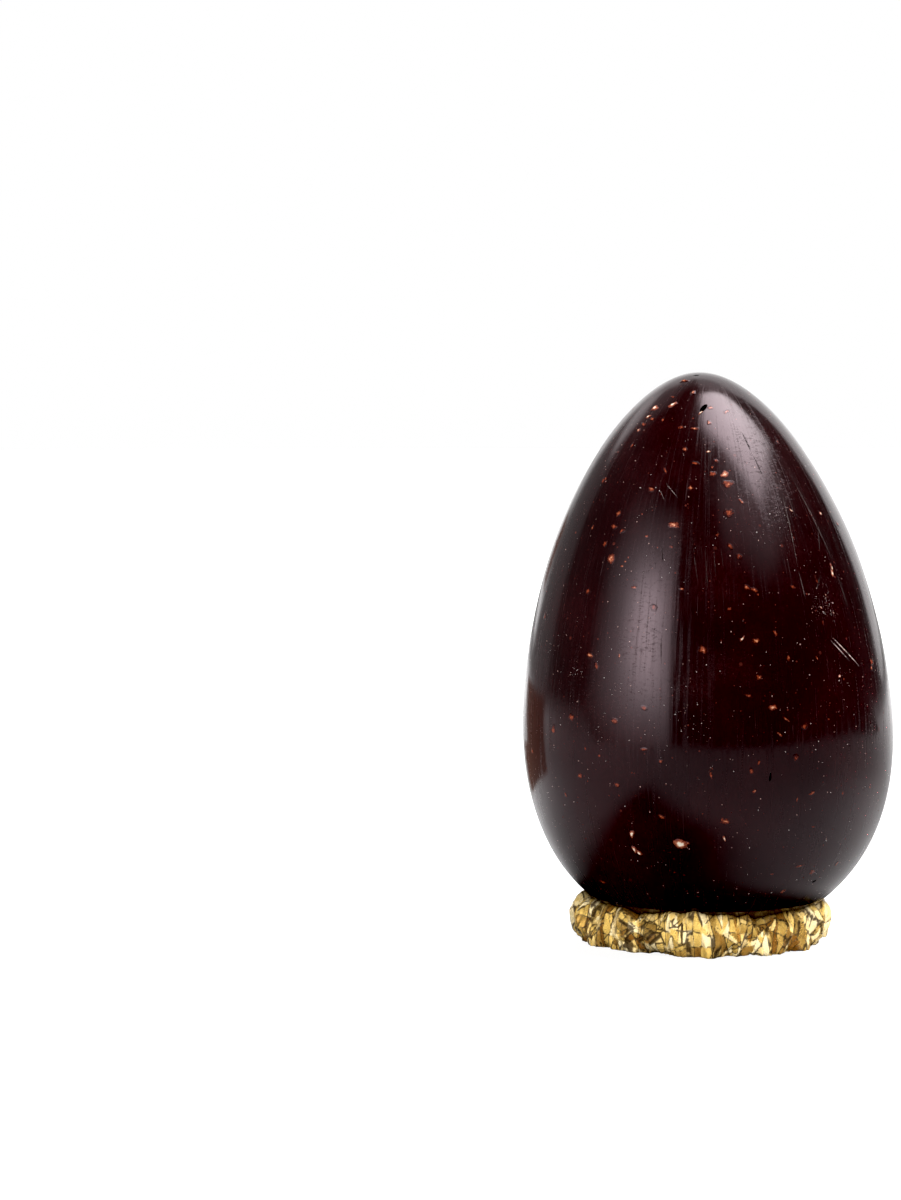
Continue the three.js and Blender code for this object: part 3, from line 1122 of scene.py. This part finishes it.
SOLID_NUTS = 56
SOLID_HEIGHTS = (24, 176)
SOLID_LENGTHS = (1.8, 3.6)
COVERED_TONES = (0.0, 0.45)
SPECKS = 560
SPECK_HEIGHTS = (12, 180)
SPECK_LENGTHS = (0.6, 1.9)
SKIN_NUT_SHAPE = {"rings": 6, "spokes": 20, "rise": 0.07, "unevenness": 0.24, "cragginess": 0.08}
SPECK_SHAPE = {"rings": 3, "spokes": 9, "rise": 0.05, "unevenness": 0.30, "cragginess": 0.10}


def between(limits, share):
    """The number that lies this share of the way between two limits."""
    low, high = limits
    return low + (high - low) * share


def scatter(n):
    """A repeatable number from 0 to 1 for each whole number, the solid model's own rule."""
    value = np.sin(n * 12.9898) * 43758.5453
    return value - np.floor(value)


def solid_nut_places():
    """Where the solid has its scattered nuts: two numbers that never fall in step spread them."""
    i = np.arange(SOLID_NUTS)
    direction = 360 * ((0.31 + i * 0.7548776662 + 0.03 * scatter(i)) % 1)
    height = between(SOLID_HEIGHTS, (0.17 + i * 0.569840291 + 0.03 * scatter(i + 500)) % 1)
    return np.stack([direction, height, between(SOLID_LENGTHS, scatter(i + 900))], -1)


def speck_places(random):
    """Random places, evenly spread: the egg's girth hardly changes over most of its height."""
    direction = random.uniform(0, 360, SPECKS)
    height = random.uniform(*SPECK_HEIGHTS, SPECKS)
    length = between(SPECK_LENGTHS, random.uniform(0, 1, SPECKS) ** 2.5)
    return np.stack([direction, height, length], -1)


nut_random = np.random.default_rng(21)
nut_rows = np.concatenate([SHOWN_NUTS[:, :5], any_shapes(nut_random, solid_nut_places())])
nut_tones = np.concatenate([SHOWN_NUTS[:, 5], nut_random.uniform(*COVERED_TONES, SOLID_NUTS)])
add_chips("nuts_under_skin", nut_random, nut_rows, nut_tones, **SKIN_NUT_SHAPE)

speck_random = np.random.default_rng(22)
speck_rows = any_shapes(speck_random, speck_places(speck_random))
speck_tones = speck_random.uniform(0.0, 1.0, SPECKS) ** 2 * 0.5
add_chips("nut_specks", speck_random, speck_rows, speck_tones, **SPECK_SHAPE)

# %% [markdown]
# Where a nut piece broke the skin it stands out, craggy and cream. The same domes serve, five
# times as high and with rougher outlines and tops.

# %% Bare nuts
# Each: direction, height, length, width share, lean and tone, as above.
BARE_NUTS = np.array([
    (-134.8, 172.5, 3.0, 0.70, 30, 0.90), (-117.2, 173.4, 3.6, 0.45, 40, 0.92),
    (-136.2, 169.8, 2.2, 0.45, 40, 1.00), (-138.6, 165.6, 1.8, 0.60, 45, 0.80),
    (-98.0, 176.9, 2.4, 0.80, 30, 0.62), (-118.0, 180.6, 4.0, 0.40, 15, 0.62),
    (-91.4, 170.6, 2.0, 0.35, 50, 1.00), (-88.8, 158.5, 1.4, 0.60, 0, 1.00),
    (-41.8, 118.8, 2.0, 0.75, 90, 1.00), (-41.2, 120.5, 2.8, 0.22, 90, 0.95),
    (-35.1, 137.2, 1.6, 0.60, -50, 1.00), (-53.3, 139.1, 1.4, 0.50, -40, 1.00),
    (-48.4, 112.6, 0.9, 0.30, -60, 0.90), (-52.0, 109.0, 1.3, 0.35, -50, 0.95),
    (-46.6, 106.9, 1.0, 0.40, -50, 0.95), (-82.4, 101.4, 1.8, 0.50, 45, 1.00),
    (-49.2, 87.4, 1.2, 0.85, -20, 1.00), (-119.9, 41.1, 2.6, 0.70, 75, 1.00),
    (-120.1, 35.9, 2.8, 0.50, -70, 1.00), (-118.6, 34.8, 2.4, 0.55, -40, 1.00),
    (-104.1, 38.2, 5.2, 0.62, 0, 1.00), (-101.7, 38.4, 1.6, 0.80, 90, 0.60),
    (-90.1, 39.8, 2.0, 0.45, -75, 1.00),
])
BARE_NUT_SHAPE = {"rings": 5, "spokes": 13, "rise": 0.34, "unevenness": 0.40, "cragginess": 0.18}

bare_random = np.random.default_rng(5)
add_chips("bare_nuts", bare_random, BARE_NUTS[:, :5], BARE_NUTS[:, 5], **BARE_NUT_SHAPE)

# %% [markdown]
# ## Dust
#
# Tiny crumbs of nut cling to the polish and show as pale dots. At true size each is under
# half a millimetre, so an eight-sided grain is enough, and one mesh holds them all. Some lie
# at listed places, some cluster round a few places, and the rest are spread evenly.

# %% Dust
DUST_SIZES = (0.07, 0.18)
SHOWN_DUST_SIZE = 0.14
DUST_FLATNESS = 0.6
DUST_SPREAD = 700
DUST_HEIGHTS = (15, 178)
DUST_RED = (0.30, 0.14, 0.11, 1.0)
DUST_PALE = (1.0, 0.92, 0.88, 1.0)
DUST_PATCHES = (1.5, 1.0, 0.5, 0.42, 0.56)
DULL = 0.6
# Each cluster: direction, height and how many crumbs. They are spread by two standard sizes.
DUST_CLUSTERS = np.array([
    (-97, 74, 30), (-101, 78, 16), (-127, 79, 14), (-127, 72, 16), (-63, 137, 16), (-56, 137, 20),
    (-70, 132, 12), (-52, 109, 40), (-46, 107, 30), (-48, 112, 16), (-136, 170, 12),
    (-121, 87, 14), (-140, 92, 20), (-153, 97, 12), (-48, 87, 12), (-52, 24, 14),
])
DUST_CLUSTER_SPREAD = (2.6, 1.9)
DUST_CLUSTER_SHARE = 0.7
SHOWN_DUST = np.array([
    (-127, 149), (-123, 148), (-115, 148), (-113, 147), (-113, 150), (-118, 148), (-113, 163),
    (-98, 137), (-95, 142), (-103, 131), (-84, 138), (-81, 124), (-90, 130), (-89, 132), (-65, 135),
    (-50, 126), (-43, 124), (-48, 116), (-113, 130), (-108, 126), (-106, 122), (-141, 108),
    (-154, 99), (-154, 97), (-130, 98), (-130, 95), (-138, 92), (-141, 91), (-127, 90), (-122, 88),
    (-121, 87), (-121, 86), (-124, 85), (-119, 81), (-107, 82), (-110, 75), (-113, 74), (-113, 73),
    (-102, 80), (-101, 81), (-102, 74), (-97, 82), (-97, 92), (-99, 90), (-99, 89), (-94, 94),
    (-90, 92), (-84, 87), (-64, 99), (-61, 100), (-75, 97), (-69, 101), (-74, 93), (-77, 89),
    (-61, 89), (-62, 88), (-44, 89), (-46, 85), (-72, 79), (-62, 74), (-58, 79), (-37, 77),
    (-48, 66), (-81, 66), (-141, 50), (-121, 50), (-120, 32), (-110, 31), (-151, 54), (-87, 61),
    (-91, 65), (-60, 121), (-107, 110), (-124, 77), (-122, 77), (-121, 78), (-118, 71), (-159, 71),
])


def dust_material():
    material, recipe = new_material("nut_dust")
    colour = recipe.mix(recipe.patches(recipe.place(), *DUST_PATCHES), DUST_RED, DUST_PALE)
    recipe.surface(Base_Color=colour, Roughness=DULL)
    return material


def dust_places(random):
    """Direction and height of every crumb: the shown ones, the spread ones, the clusters."""
    spread = [random.uniform(0, 360, DUST_SPREAD), random.uniform(*DUST_HEIGHTS, DUST_SPREAD)]
    places = [SHOWN_DUST, np.stack(spread, -1)]
    for direction, height, count in DUST_CLUSTERS:
        off = random.normal(0, DUST_CLUSTER_SPREAD, (int(count * DUST_CLUSTER_SHARE), 2))
        places.append((direction, height) + off)
    return np.concatenate(places).T


def make_dust():
    """Each crumb has six corners, up and down its three axes, at random distances."""
    random = np.random.default_rng(33)
    direction, height = dust_places(random)
    count = len(direction)
    size = between(DUST_SIZES, random.uniform(0, 1, count) ** 4)
    size[:len(SHOWN_DUST)] = SHOWN_DUST_SIZE * random.uniform(0.8, 1.2, len(SHOWN_DUST))
    corner = np.array([(1, 0, 0), (0, 1, 0), (-1, 0, 0), (0, -1, 0), (0, 0, 1), (0, 0, -1)], float)
    corner = corner[None] * random.uniform(0.6, 1.3, (count, 6, 1)) * size[:, None, None]
    across, along, rise = corner[..., 0], corner[..., 1], corner[..., 2] * DUST_FLATNESS
    points = place_on_egg(direction[:, None], height[:, None], across, along, rise)
    ring = np.arange(4)
    faces = np.concatenate([fan_faces(4, ring), fan_faces(5, ring[::-1])])
    faces = (faces[None] + 6 * np.arange(count)[:, None, None]).reshape(-1, 3)
    add_piece("nut_dust", points, faces.tolist(), dust_material(), "hazelnut")


make_dust()

# %% [markdown]
# ## Scratches
#
# Handling leaves fine pale scratches. A line drawn by the material would need a picture or a
# very fine mesh. So each is a very thin four-sided thread laid on the skin, tapered at both
# ends, and partly see-through so that it only lightens the chocolate.

# %% Scratch finish
SCRATCH_DARK = (0.010, 0.004, 0.004, 1.0)
SCRATCH_WHITE = (1.00, 0.86, 0.82, 1.0)
SCRATCH_BREAKS = (0.7, 2.0, 0.5, 0.38, 0.58)


def scratch_material():
    """Covers the chocolate by the thread's own strength, less where noise breaks the line."""
    material, recipe = new_material("scratched_chocolate")
    unbroken = recipe.patches(recipe.place(), *SCRATCH_BREAKS)
    recipe.surface(
        Base_Color=recipe.mix(recipe.feature("pale"), SCRATCH_DARK, SCRATCH_WHITE),
        Roughness=DULL,
        Specular_IOR_Level=0.2,
        Alpha=recipe.feature("fade") * (unbroken * 0.75 + 0.25),
    )
    return material


scratched_chocolate = scratch_material()
print("scratch finish has", len(scratched_chocolate.node_tree.nodes), "nodes")

# %% [markdown]
# The scratches that catch the eye are placed one by one, some pale and some dark. Faint
# upright streaks stand close together on the front, and short scratches lie all over.

# %% Scratches
SCRATCH_STEPS = 26
SCRATCH_LIFT, SCRATCH_EDGE, SCRATCH_ROOT = 0.02, -0.01, -0.03
BOW = 0.01
STREAKS = 12
STREAK_DIRECTIONS, STREAK_HEIGHTS = (-99, -82), (118, 134)
STREAK_WIDTHS, STREAK_STRENGTHS = (0.12, 0.22), (0.006, 0.020)
SEEDED_SCRATCHES = 20
SEEDED_HEIGHTS, SEEDED_LENGTHS, SEEDED_WIDTHS = (25, 170), (1.0, 7.0), (0.12, 0.26)
SEEDED_STRENGTHS = (0.01, 0.06)
PALE_SHARE = 0.6
# Each: direction and height of both ends, width in mm, strength, and 1 for pale or 0 for dark.
NAMED_SCRATCHES = np.array([
    (-50.3, 100.2, -38.2, 89.0, 0.50, 1.00, 1), (-50.8, 99.0, -43.3, 91.5, 0.42, 0.95, 1),
    (-45.0, 151.4, -39.0, 122.8, 0.36, 0.20, 1), (-54.9, 144.9, -58.2, 122.0, 0.30, 0.22, 1),
    (-58.2, 121.0, -57.8, 111.8, 0.30, 0.20, 1), (-41.9, 132.4, -44.9, 126.3, 0.30, 0.14, 1),
    (-48.3, 118.8, -52.8, 113.9, 0.30, 0.16, 1), (-38.9, 118.1, -37.7, 107.7, 0.30, 0.14, 1),
    (-97.4, 130.3, -95.7, 118.2, 0.32, 0.04, 1), (-93.0, 130.2, -92.6, 116.6, 0.32, 0.04, 1),
    (-89.7, 130.1, -89.6, 119.6, 0.32, 0.03, 1), (-87.1, 129.1, -86.8, 123.1, 0.32, 0.03, 1),
    (-110.3, 149.3, -104.1, 144.7, 0.26, 0.40, 1), (-113.0, 147.6, -110.0, 144.0, 0.24, 0.20, 1),
    (-109.2, 130.2, -108.6, 124.8, 0.42, 0.80, 0), (-108.1, 103.4, -107.9, 93.9, 0.42, 0.90, 0),
    (-112.2, 105.8, -107.3, 103.5, 0.42, 0.70, 0), (-107.4, 90.3, -103.7, 88.4, 0.46, 0.90, 0),
    (-109.0, 120.9, -113.5, 117.0, 0.26, 0.45, 0), (-111.5, 126.0, -111.3, 123.0, 0.26, 0.50, 0),
    (-64.9, 163.9, -63.8, 157.7, 0.80, 1.00, 0), (-63.8, 157.7, -62.0, 148.9, 0.60, 0.70, 0),
])


def streak_rows(random):
    """Faint upright streaks, close together on one side of the front."""
    first_direction = random.uniform(*STREAK_DIRECTIONS, STREAKS)
    start = np.stack([first_direction, random.uniform(*STREAK_HEIGHTS, STREAKS)], -1)
    end = start + np.stack([random.normal(0, 0.6, STREAKS), random.uniform(-16, -4, STREAKS)], -1)
    width = random.uniform(*STREAK_WIDTHS, STREAKS)
    strength = random.uniform(*STREAK_STRENGTHS, STREAKS)
    return np.column_stack([start, end, width, strength, np.ones(STREAKS)])


def seeded_rows(random):
    """Short scratches anywhere, most of them nearly upright and faint."""
    count = SEEDED_SCRATCHES
    start = np.stack([random.uniform(0, 360, count), random.uniform(*SEEDED_HEIGHTS, count)], -1)
    reach, lean = random.uniform(*SEEDED_LENGTHS, count), random.normal(0, 0.5, count)
    end = start + np.stack([reach * np.sin(lean), reach * np.cos(lean)], -1)
    width = random.uniform(*SEEDED_WIDTHS, count)
    strength = between(SEEDED_STRENGTHS, random.uniform(0, 1, count) ** 3)
    pale = random.uniform(0, 1, count) < PALE_SHARE
    return np.column_stack([start, end, width, strength, pale])


def scratch_points(random, rows):
    """Four points round each step of a line: left, top, right and under the skin.

    A line runs straight from end to end over direction and height, with a slight bow, and its
    width is that of its row times the square root of a half sine wave.
    """
    step = np.linspace(0, 1, SCRATCH_STEPS)[None, :]
    columns = [column[:, None] for column in rows.T]
    first_direction, first_height, last_direction, last_height, width, strength, pale = columns
    bow = random.normal(0, BOW, (len(rows), 1)) * (last_height - first_height)
    direction = first_direction + (last_direction - first_direction) * step
    direction = direction + bow * np.sin(np.pi * step)
    height = first_height + (last_height - first_height) * step
    taper = np.sin(np.pi * np.clip(step, 0.001, 0.999)) ** 0.5
    half = width / 2 * taper
    left_right = np.stack([-half, 0 * half, half, 0 * half], -1)
    edge, root, crown = SCRATCH_EDGE + 0 * half, SCRATCH_ROOT + 0 * half, SCRATCH_LIFT * taper
    up_down = np.stack([edge, crown + 0 * half, edge, root], -1)
    points = place_on_egg(direction[..., None], height[..., None], left_right, 0.0, up_down)
    features = {"fade": strength * taper, "pale": pale + 0 * taper}
    return points, {key: value[..., None] + 0 * left_right for key, value in features.items()}


def make_scratches():
    """Each thread is a grid of steps and four sides, closed by a face at both ends."""
    random = np.random.default_rng(44)
    rows = np.concatenate([NAMED_SCRATCHES, streak_rows(random), seeded_rows(random)])
    points, features = scratch_points(random, rows)
    last = 4 * SCRATCH_STEPS - 1
    ends = np.array([(0, 1, 2, 3), (last, last - 1, last - 2, last - 3)])
    faces = np.concatenate([grid_faces(SCRATCH_STEPS, 4), ends])
    faces = (faces[None] + 4 * SCRATCH_STEPS * np.arange(len(rows))[:, None, None]).reshape(-1, 4)
    finish = scratched_chocolate
    add_piece("scratches", points, faces.tolist(), finish, "dark_chocolate", **features)


make_scratches()

# %% [markdown]
# ## The gold foil
#
# The wrapper was pulled down and rolled into a ring that keeps the egg upright. Crumpled
# foil is flat between its creases, so smooth noise would make it look like dough. Its relief
# is built from shapes with straight sides instead: zigzag folds and pleats across the roll,
# and facets. A facet is a side of a pyramid, and the foil is the lowest of many pyramids.

# %% Folds and facets
RING_RADIUS = 35.0
RING_LENGTH = 2 * np.pi * RING_RADIUS
ROLL_GIRTH = 43.5
FACET_TURN = 0.45
FACET_VARIETY = (0.6, 1.4)
FACET_RAISE = 0.3


def zigzag(x):
    """From -1 to 1 and back in straight lines, once for every whole number."""
    return 2 * np.abs(2 * (x - np.floor(x + 0.5))) - 1


def hill(around, direction, spread):
    """1 at a direction in degrees, falling off on both sides as a bell curve."""
    away = (np.degrees(around) - direction + 180) % 360 - 180
    return np.exp(-((away / spread) ** 2))


def crumple(along, across, spacing, stretch, steepness, seed):
    """Straight-sided facets: at each place, the lowest of many upturned pyramids.

    A pyramid's height is the distance from its own point, measured along two axes that are
    turned a little, with all distances across the roll divided by the stretch. Returns the
    height, a random tone for each flat facet, shown by the finish as painted reflection where
    high and painted shade where low, and how many mm away its nearest crease is: one of the
    pyramid's own axes, or the border with the next pyramid.
    """
    random = np.random.default_rng(seed)
    count = int(RING_LENGTH * ROLL_GIRTH / spacing**2 / stretch)
    lowest = np.full(along.shape, 99.0, np.float32)
    next_lowest, shade, axis_away = lowest.copy(), 0 * lowest, 0 * lowest
    for _ in range(count):
        point_along, point_across = random.uniform(0, RING_LENGTH), random.uniform(0, ROLL_GIRTH)
        turn = random.normal(0, FACET_TURN)
        first, second = random.uniform(*FACET_VARIETY, 2) * steepness
        d_along = (along - point_along + RING_LENGTH / 2) % RING_LENGTH - RING_LENGTH / 2
        d_across = (across - point_across + ROLL_GIRTH / 2) % ROLL_GIRTH - ROLL_GIRTH / 2
        d_across = d_across / stretch
        one = d_along * np.cos(turn) + d_across * np.sin(turn)
        two = d_across * np.cos(turn) - d_along * np.sin(turn)
        raised = random.uniform(0, FACET_RAISE) * spacing * steepness
        height = np.abs(one) * first + np.abs(two) * second + raised
        own_facet_lights = random.uniform(0, 1, 4)[2 * (one > 0) + (two > 0)]
        here = height < lowest
        next_lowest = np.where(here, lowest, np.minimum(next_lowest, height))
        lowest = np.where(here, height, lowest)
        shade = np.where(here, own_facet_lights, shade)
        axis_away = np.where(here, np.minimum(np.abs(one), np.abs(two)), axis_away)
    border_away = (next_lowest - lowest) / (2 * steepness)
    return lowest - lowest.mean(), shade, np.minimum(axis_away, border_away)


print("a roll", round(RING_LENGTH), "mm long and", ROLL_GIRTH, "mm round")

# %% [markdown]
# The foil isn't crumpled alike all round. Two places stayed smooth, one at the front right was
# twisted into tight pleats, and weaker pleats come and go elsewhere. The relief adds all folds,
# each where it is strong, and keeps each facet's tone of painted light and the nearest
# crease's distance for the finish.

# %% Foil relief
# Each fold: how many go round the ring, how they wind round the roll, and their depth in mm.
FOLDS = ((29, 2, 0.7), (17, -1, 0.5), (5, 1, 0.5))
FOLD_STAGGER = 0.37
LARGE_FACETS = {"spacing": 7.0, "stretch": 1.5, "steepness": 0.46, "seed": 3}
SMALL_FACETS = {"spacing": 3.2, "stretch": 2.4, "steepness": 0.36, "seed": 4}
SMOOTH_PLACES = ((-4, 11), (180, 9))
PLEATED_PLACE = (-43, 17)
PLEATS, FINE_PLEATS = 122, 175
PLEAT_DEPTH, FINE_PLEAT_DEPTH = 0.50, 0.14


def pleat_relief(around, section):
    """Pleats and fine pleats: zigzags round the ring that wander along the roll as sines do."""
    wander = 0.7 * np.sin(3 * around + 2 * section) + 0.5 * np.sin(7 * around - section)
    bend, fine_bend = np.sin(section * 2 + 5 * around), np.sin(section + 9 * around)
    share = around / (2 * np.pi)
    pleats = zigzag(PLEATS * share + wander + 0.35 * bend)
    return pleats, zigzag(FINE_PLEATS * share - wander + 0.8 * fine_bend)


def foil_relief(around, section):
    """How far the foil stands out, in mm, each facet's tone of painted light, and the nearest
    crease's distance.

    The relief is folds, large facets, small facets and pleats, each times where it is strong.
    """
    along, across = around * RING_RADIUS, section / (2 * np.pi) * ROLL_GIRTH
    folds = sum(
        depth * zigzag((count * around + twist * section) / (2 * np.pi) + FOLD_STAGGER * i)
        for i, (count, twist, depth) in enumerate(FOLDS)
    )
    smooth = np.clip(sum(hill(around, *place) for place in SMOOTH_PLACES), 0, 1)
    crisp = 1 - 0.8 * smooth
    large, large_facet_light, large_crease = crumple(along, across, **LARGE_FACETS)
    small, small_facet_light, small_crease = crumple(along, across, **SMALL_FACETS)
    pleats, fine = pleat_relief(around, section)
    patches = np.clip(0.5 + 0.7 * np.sin(6 * around + 1) * np.sin(11 * around + 2.5), 0, 1)
    strong = np.clip(1.2 * hill(around, *PLEATED_PLACE) + 0.6 * patches, 0, 1) * crisp
    valley_away = (pleats + 1) / 4 * RING_LENGTH / PLEATS + 3 * (1 - strong)
    relief = folds * (1 - 0.5 * smooth) + 0.9 * large + crisp * (1 - 0.5 * strong) * small
    relief = relief + strong * (PLEAT_DEPTH * pleats + FINE_PLEAT_DEPTH * fine)
    # Each facet's tone of painted light; the smooth places get a pale one, a painted reflection.
    shade = (0.55 * large_facet_light + 0.45 * small_facet_light) * crisp + 0.75 * (1 - crisp)
    crease = np.minimum(np.minimum(large_crease, small_crease * 1.5 + smooth), valley_away)
    return relief, shade, crease


print(PLEATS, "pleats and", FINE_PLEATS, "fine ones")

# %% [markdown]
# The foil is aluminium with a gold lacquer. Its metal layer reflects the studio, and a share
# of plain gold stands for the dull micro-wrinkles that send light everywhere. The look of
# crumpled foil comes from its facets: each turns to another part of the room, so each gets a
# painted tone of its own, from deep gold as painted shade to pale gold as painted reflection,
# and pale facets are less metallic so that they light up as if mirroring a bright room. Some
# creases get dark lines of painted shade with a faint painted highlight beside them. Where the
# foil tucks in under the egg it sees nothing but dark chocolate, and painted shade darkens it
# the nearer it comes.

# %% Foil finish
# Pale gold is painted reflection; deep gold and the dark colour are painted shade.
FOIL_PALE_REFLECTION = (0.98, 0.81, 0.46, 1.0)
FOIL_GOLD = (0.92, 0.60, 0.15, 1.0)
FOIL_SHADED_GOLD = (0.42, 0.18, 0.03, 1.0)
FOIL_PAINTED_SHADE = (0.030, 0.012, 0.004, 1.0)
CREASE_HALF_WIDTH = 0.22
WRINKLES = (1.5, 2.0, 0.5)
WRINKLE_RELIEF = 0.03
# Patches of noise where the creases get painted shade.
SHADED_CREASE_PATCHES = (4.0, 2.0, 0.5, 0.36, 0.46)
TO_GOLD, TO_PALE_REFLECTION, TO_PLAIN = (0.15, 0.50), (0.50, 0.80), (0.30, 0.70)


def foil_material():
    """Painted shade, gold and painted reflection by tone; painted shade in creases and under the
    egg.
    """
    material, recipe = new_material("gold_foil")
    place = recipe.place()
    wrinkles = recipe.noise(place, *WRINKLES)
    # Each facet's tone of painted light, for the part of the room that it mirrors.
    tone = recipe.feature("shade") + (wrinkles - 0.5) * 0.12
    line = recipe.rise(recipe.feature("crease"), CREASE_HALF_WIDTH, CREASE_HALF_WIDTH * 0.3)
    # Painted shade: dark lines along creases, in patches.
    painted_crease_shade = line * recipe.patches(place, *SHADED_CREASE_PATCHES)
    colour = recipe.mix(recipe.rise(tone, *TO_GOLD), FOIL_SHADED_GOLD, FOIL_GOLD)
    # Painted reflection on pale facets, and a faint painted highlight beside creases.
    colour = recipe.mix(recipe.rise(tone, *TO_PALE_REFLECTION) * 0.9 + line * 0.2, colour, FOIL_PALE_REFLECTION)
    colour = recipe.mix(painted_crease_shade * 0.92, colour, FOIL_PAINTED_SHADE)
    recipe.surface(
        # Painted shade where the foil tucks in under the egg.
        Base_Color=recipe.mix(recipe.feature("tucked") * 0.9, colour, FOIL_PAINTED_SHADE),
        # Pale facets are less metallic, so that the lamps light them as a painted reflection.
        Metallic=0.75 - recipe.rise(tone, *TO_PLAIN) * 0.40,
        Roughness=wrinkles * 0.15 + 0.20,
        Normal=recipe.bump(wrinkles * WRINKLE_RELIEF),
    )
    return material


gold_foil = foil_material()
print("foil finish has", len(gold_foil.node_tree.nodes), "nodes")

# %% [markdown]
# The ring is a roll of foil bent round in a circle, thicker where it is bunched. A simulated
# sheet would have to be crumpled for long and would never fit the solid. Here two plain rules
# press the roll into shape: it ends just under the egg's own underside, and at the table.

# %% Foil ring
RING_CENTRE_X = -1.9
ROLL_HALF_WIDTH = 6.2
ROLL_HALF_HEIGHT = 7.6
ROLL_MIDDLE_Z = 5.8
# Each bunch: direction, spread in degrees, and how much thicker the roll is there.
BUNCHES = ((176, 22, 0.22), (-43, 15, 0.24), (-20, 5, -0.12), (-3, 9, 0.12), (11, 4.5, 0.38))
FOIL_CLEARANCE = 0.15
# Over how many mm of gap the painted shade under the egg fades.
SHADE_UNDER_EGG_DEPTH = 1.8
FOIL_AROUND, FOIL_SECTION = 960, 100
HALVINGS = 30


def egg_underside(x, y):
    """Height of the egg's underside over each place on the table, by halving the interval."""
    low, high = np.zeros_like(x), np.full_like(x, PIVOT)
    for _ in range(HALVINGS):
        middle = (low + high) / 2
        radius = np.interp(middle, EGG_HEIGHT / 2 * (1 + scan), RADIUS_SCALE * scan_outline)
        off_axis = x * np.cos(EGG_LEAN) + (middle - PIVOT) * np.sin(EGG_LEAN)
        outside = radius < np.hypot(off_axis, y)
        low, high = np.where(outside, middle, low), np.where(outside, high, middle)
    return low + x * np.sin(EGG_LEAN) + POLE_ABOVE_TABLE


def make_foil():
    """Round the ring, then round the roll's oval section, both by sine and cosine."""
    around, section = np.meshgrid(
        np.linspace(0, 2 * np.pi, FOIL_AROUND, endpoint=False) + np.pi / 2,
        np.linspace(-np.pi, np.pi, FOIL_SECTION, endpoint=False),
        indexing="ij",
    )
    size = 1 + sum(extra * hill(around, direction, spread) for direction, spread, extra in BUNCHES)
    relief, shade, crease = foil_relief(around, section)
    outward = RING_RADIUS + (ROLL_HALF_WIDTH * size + relief) * np.cos(section)
    up = ROLL_MIDDLE_Z + (ROLL_HALF_HEIGHT * size + relief) * np.sin(section)
    x, y = RING_CENTRE_X + outward * np.cos(around), outward * np.sin(around)
    ceiling = egg_underside(x, y) - FOIL_CLEARANCE
    up = np.clip(np.minimum(up, ceiling), 0, None)
    # Painted shade under the egg: 1 where the foil meets it, fading as the gap grows.
    tucked = np.exp(-(ceiling - up) / SHADE_UNDER_EGG_DEPTH)
    points = np.stack([x, y, up], -1)
    faces = grid_faces(FOIL_AROUND, FOIL_SECTION, rows_close=True).tolist()
    features = {"shade": shade, "crease": crease, "tucked": tucked}
    foil = add_piece("foil_ring", points, faces, gold_foil, "gold_foil", **features)
    lit_by["foil_fill"].objects.link(foil)
    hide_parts("foil")


make_foil()

# %% [markdown]
# ## Sizes and the end
#
# Both boxes, the solid's and the visual model's, are printed side by side. The visual
# model may not grow out of the solid's box.

# %% Finish
bpy.context.view_layer.update()
visual_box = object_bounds()
for name, before, after in zip("xyz", cad_box[1] - cad_box[0], visual_box[1] - visual_box[0]):
    print(name, "solid", round(before / MM, 2), "visual", round(after / MM, 2))
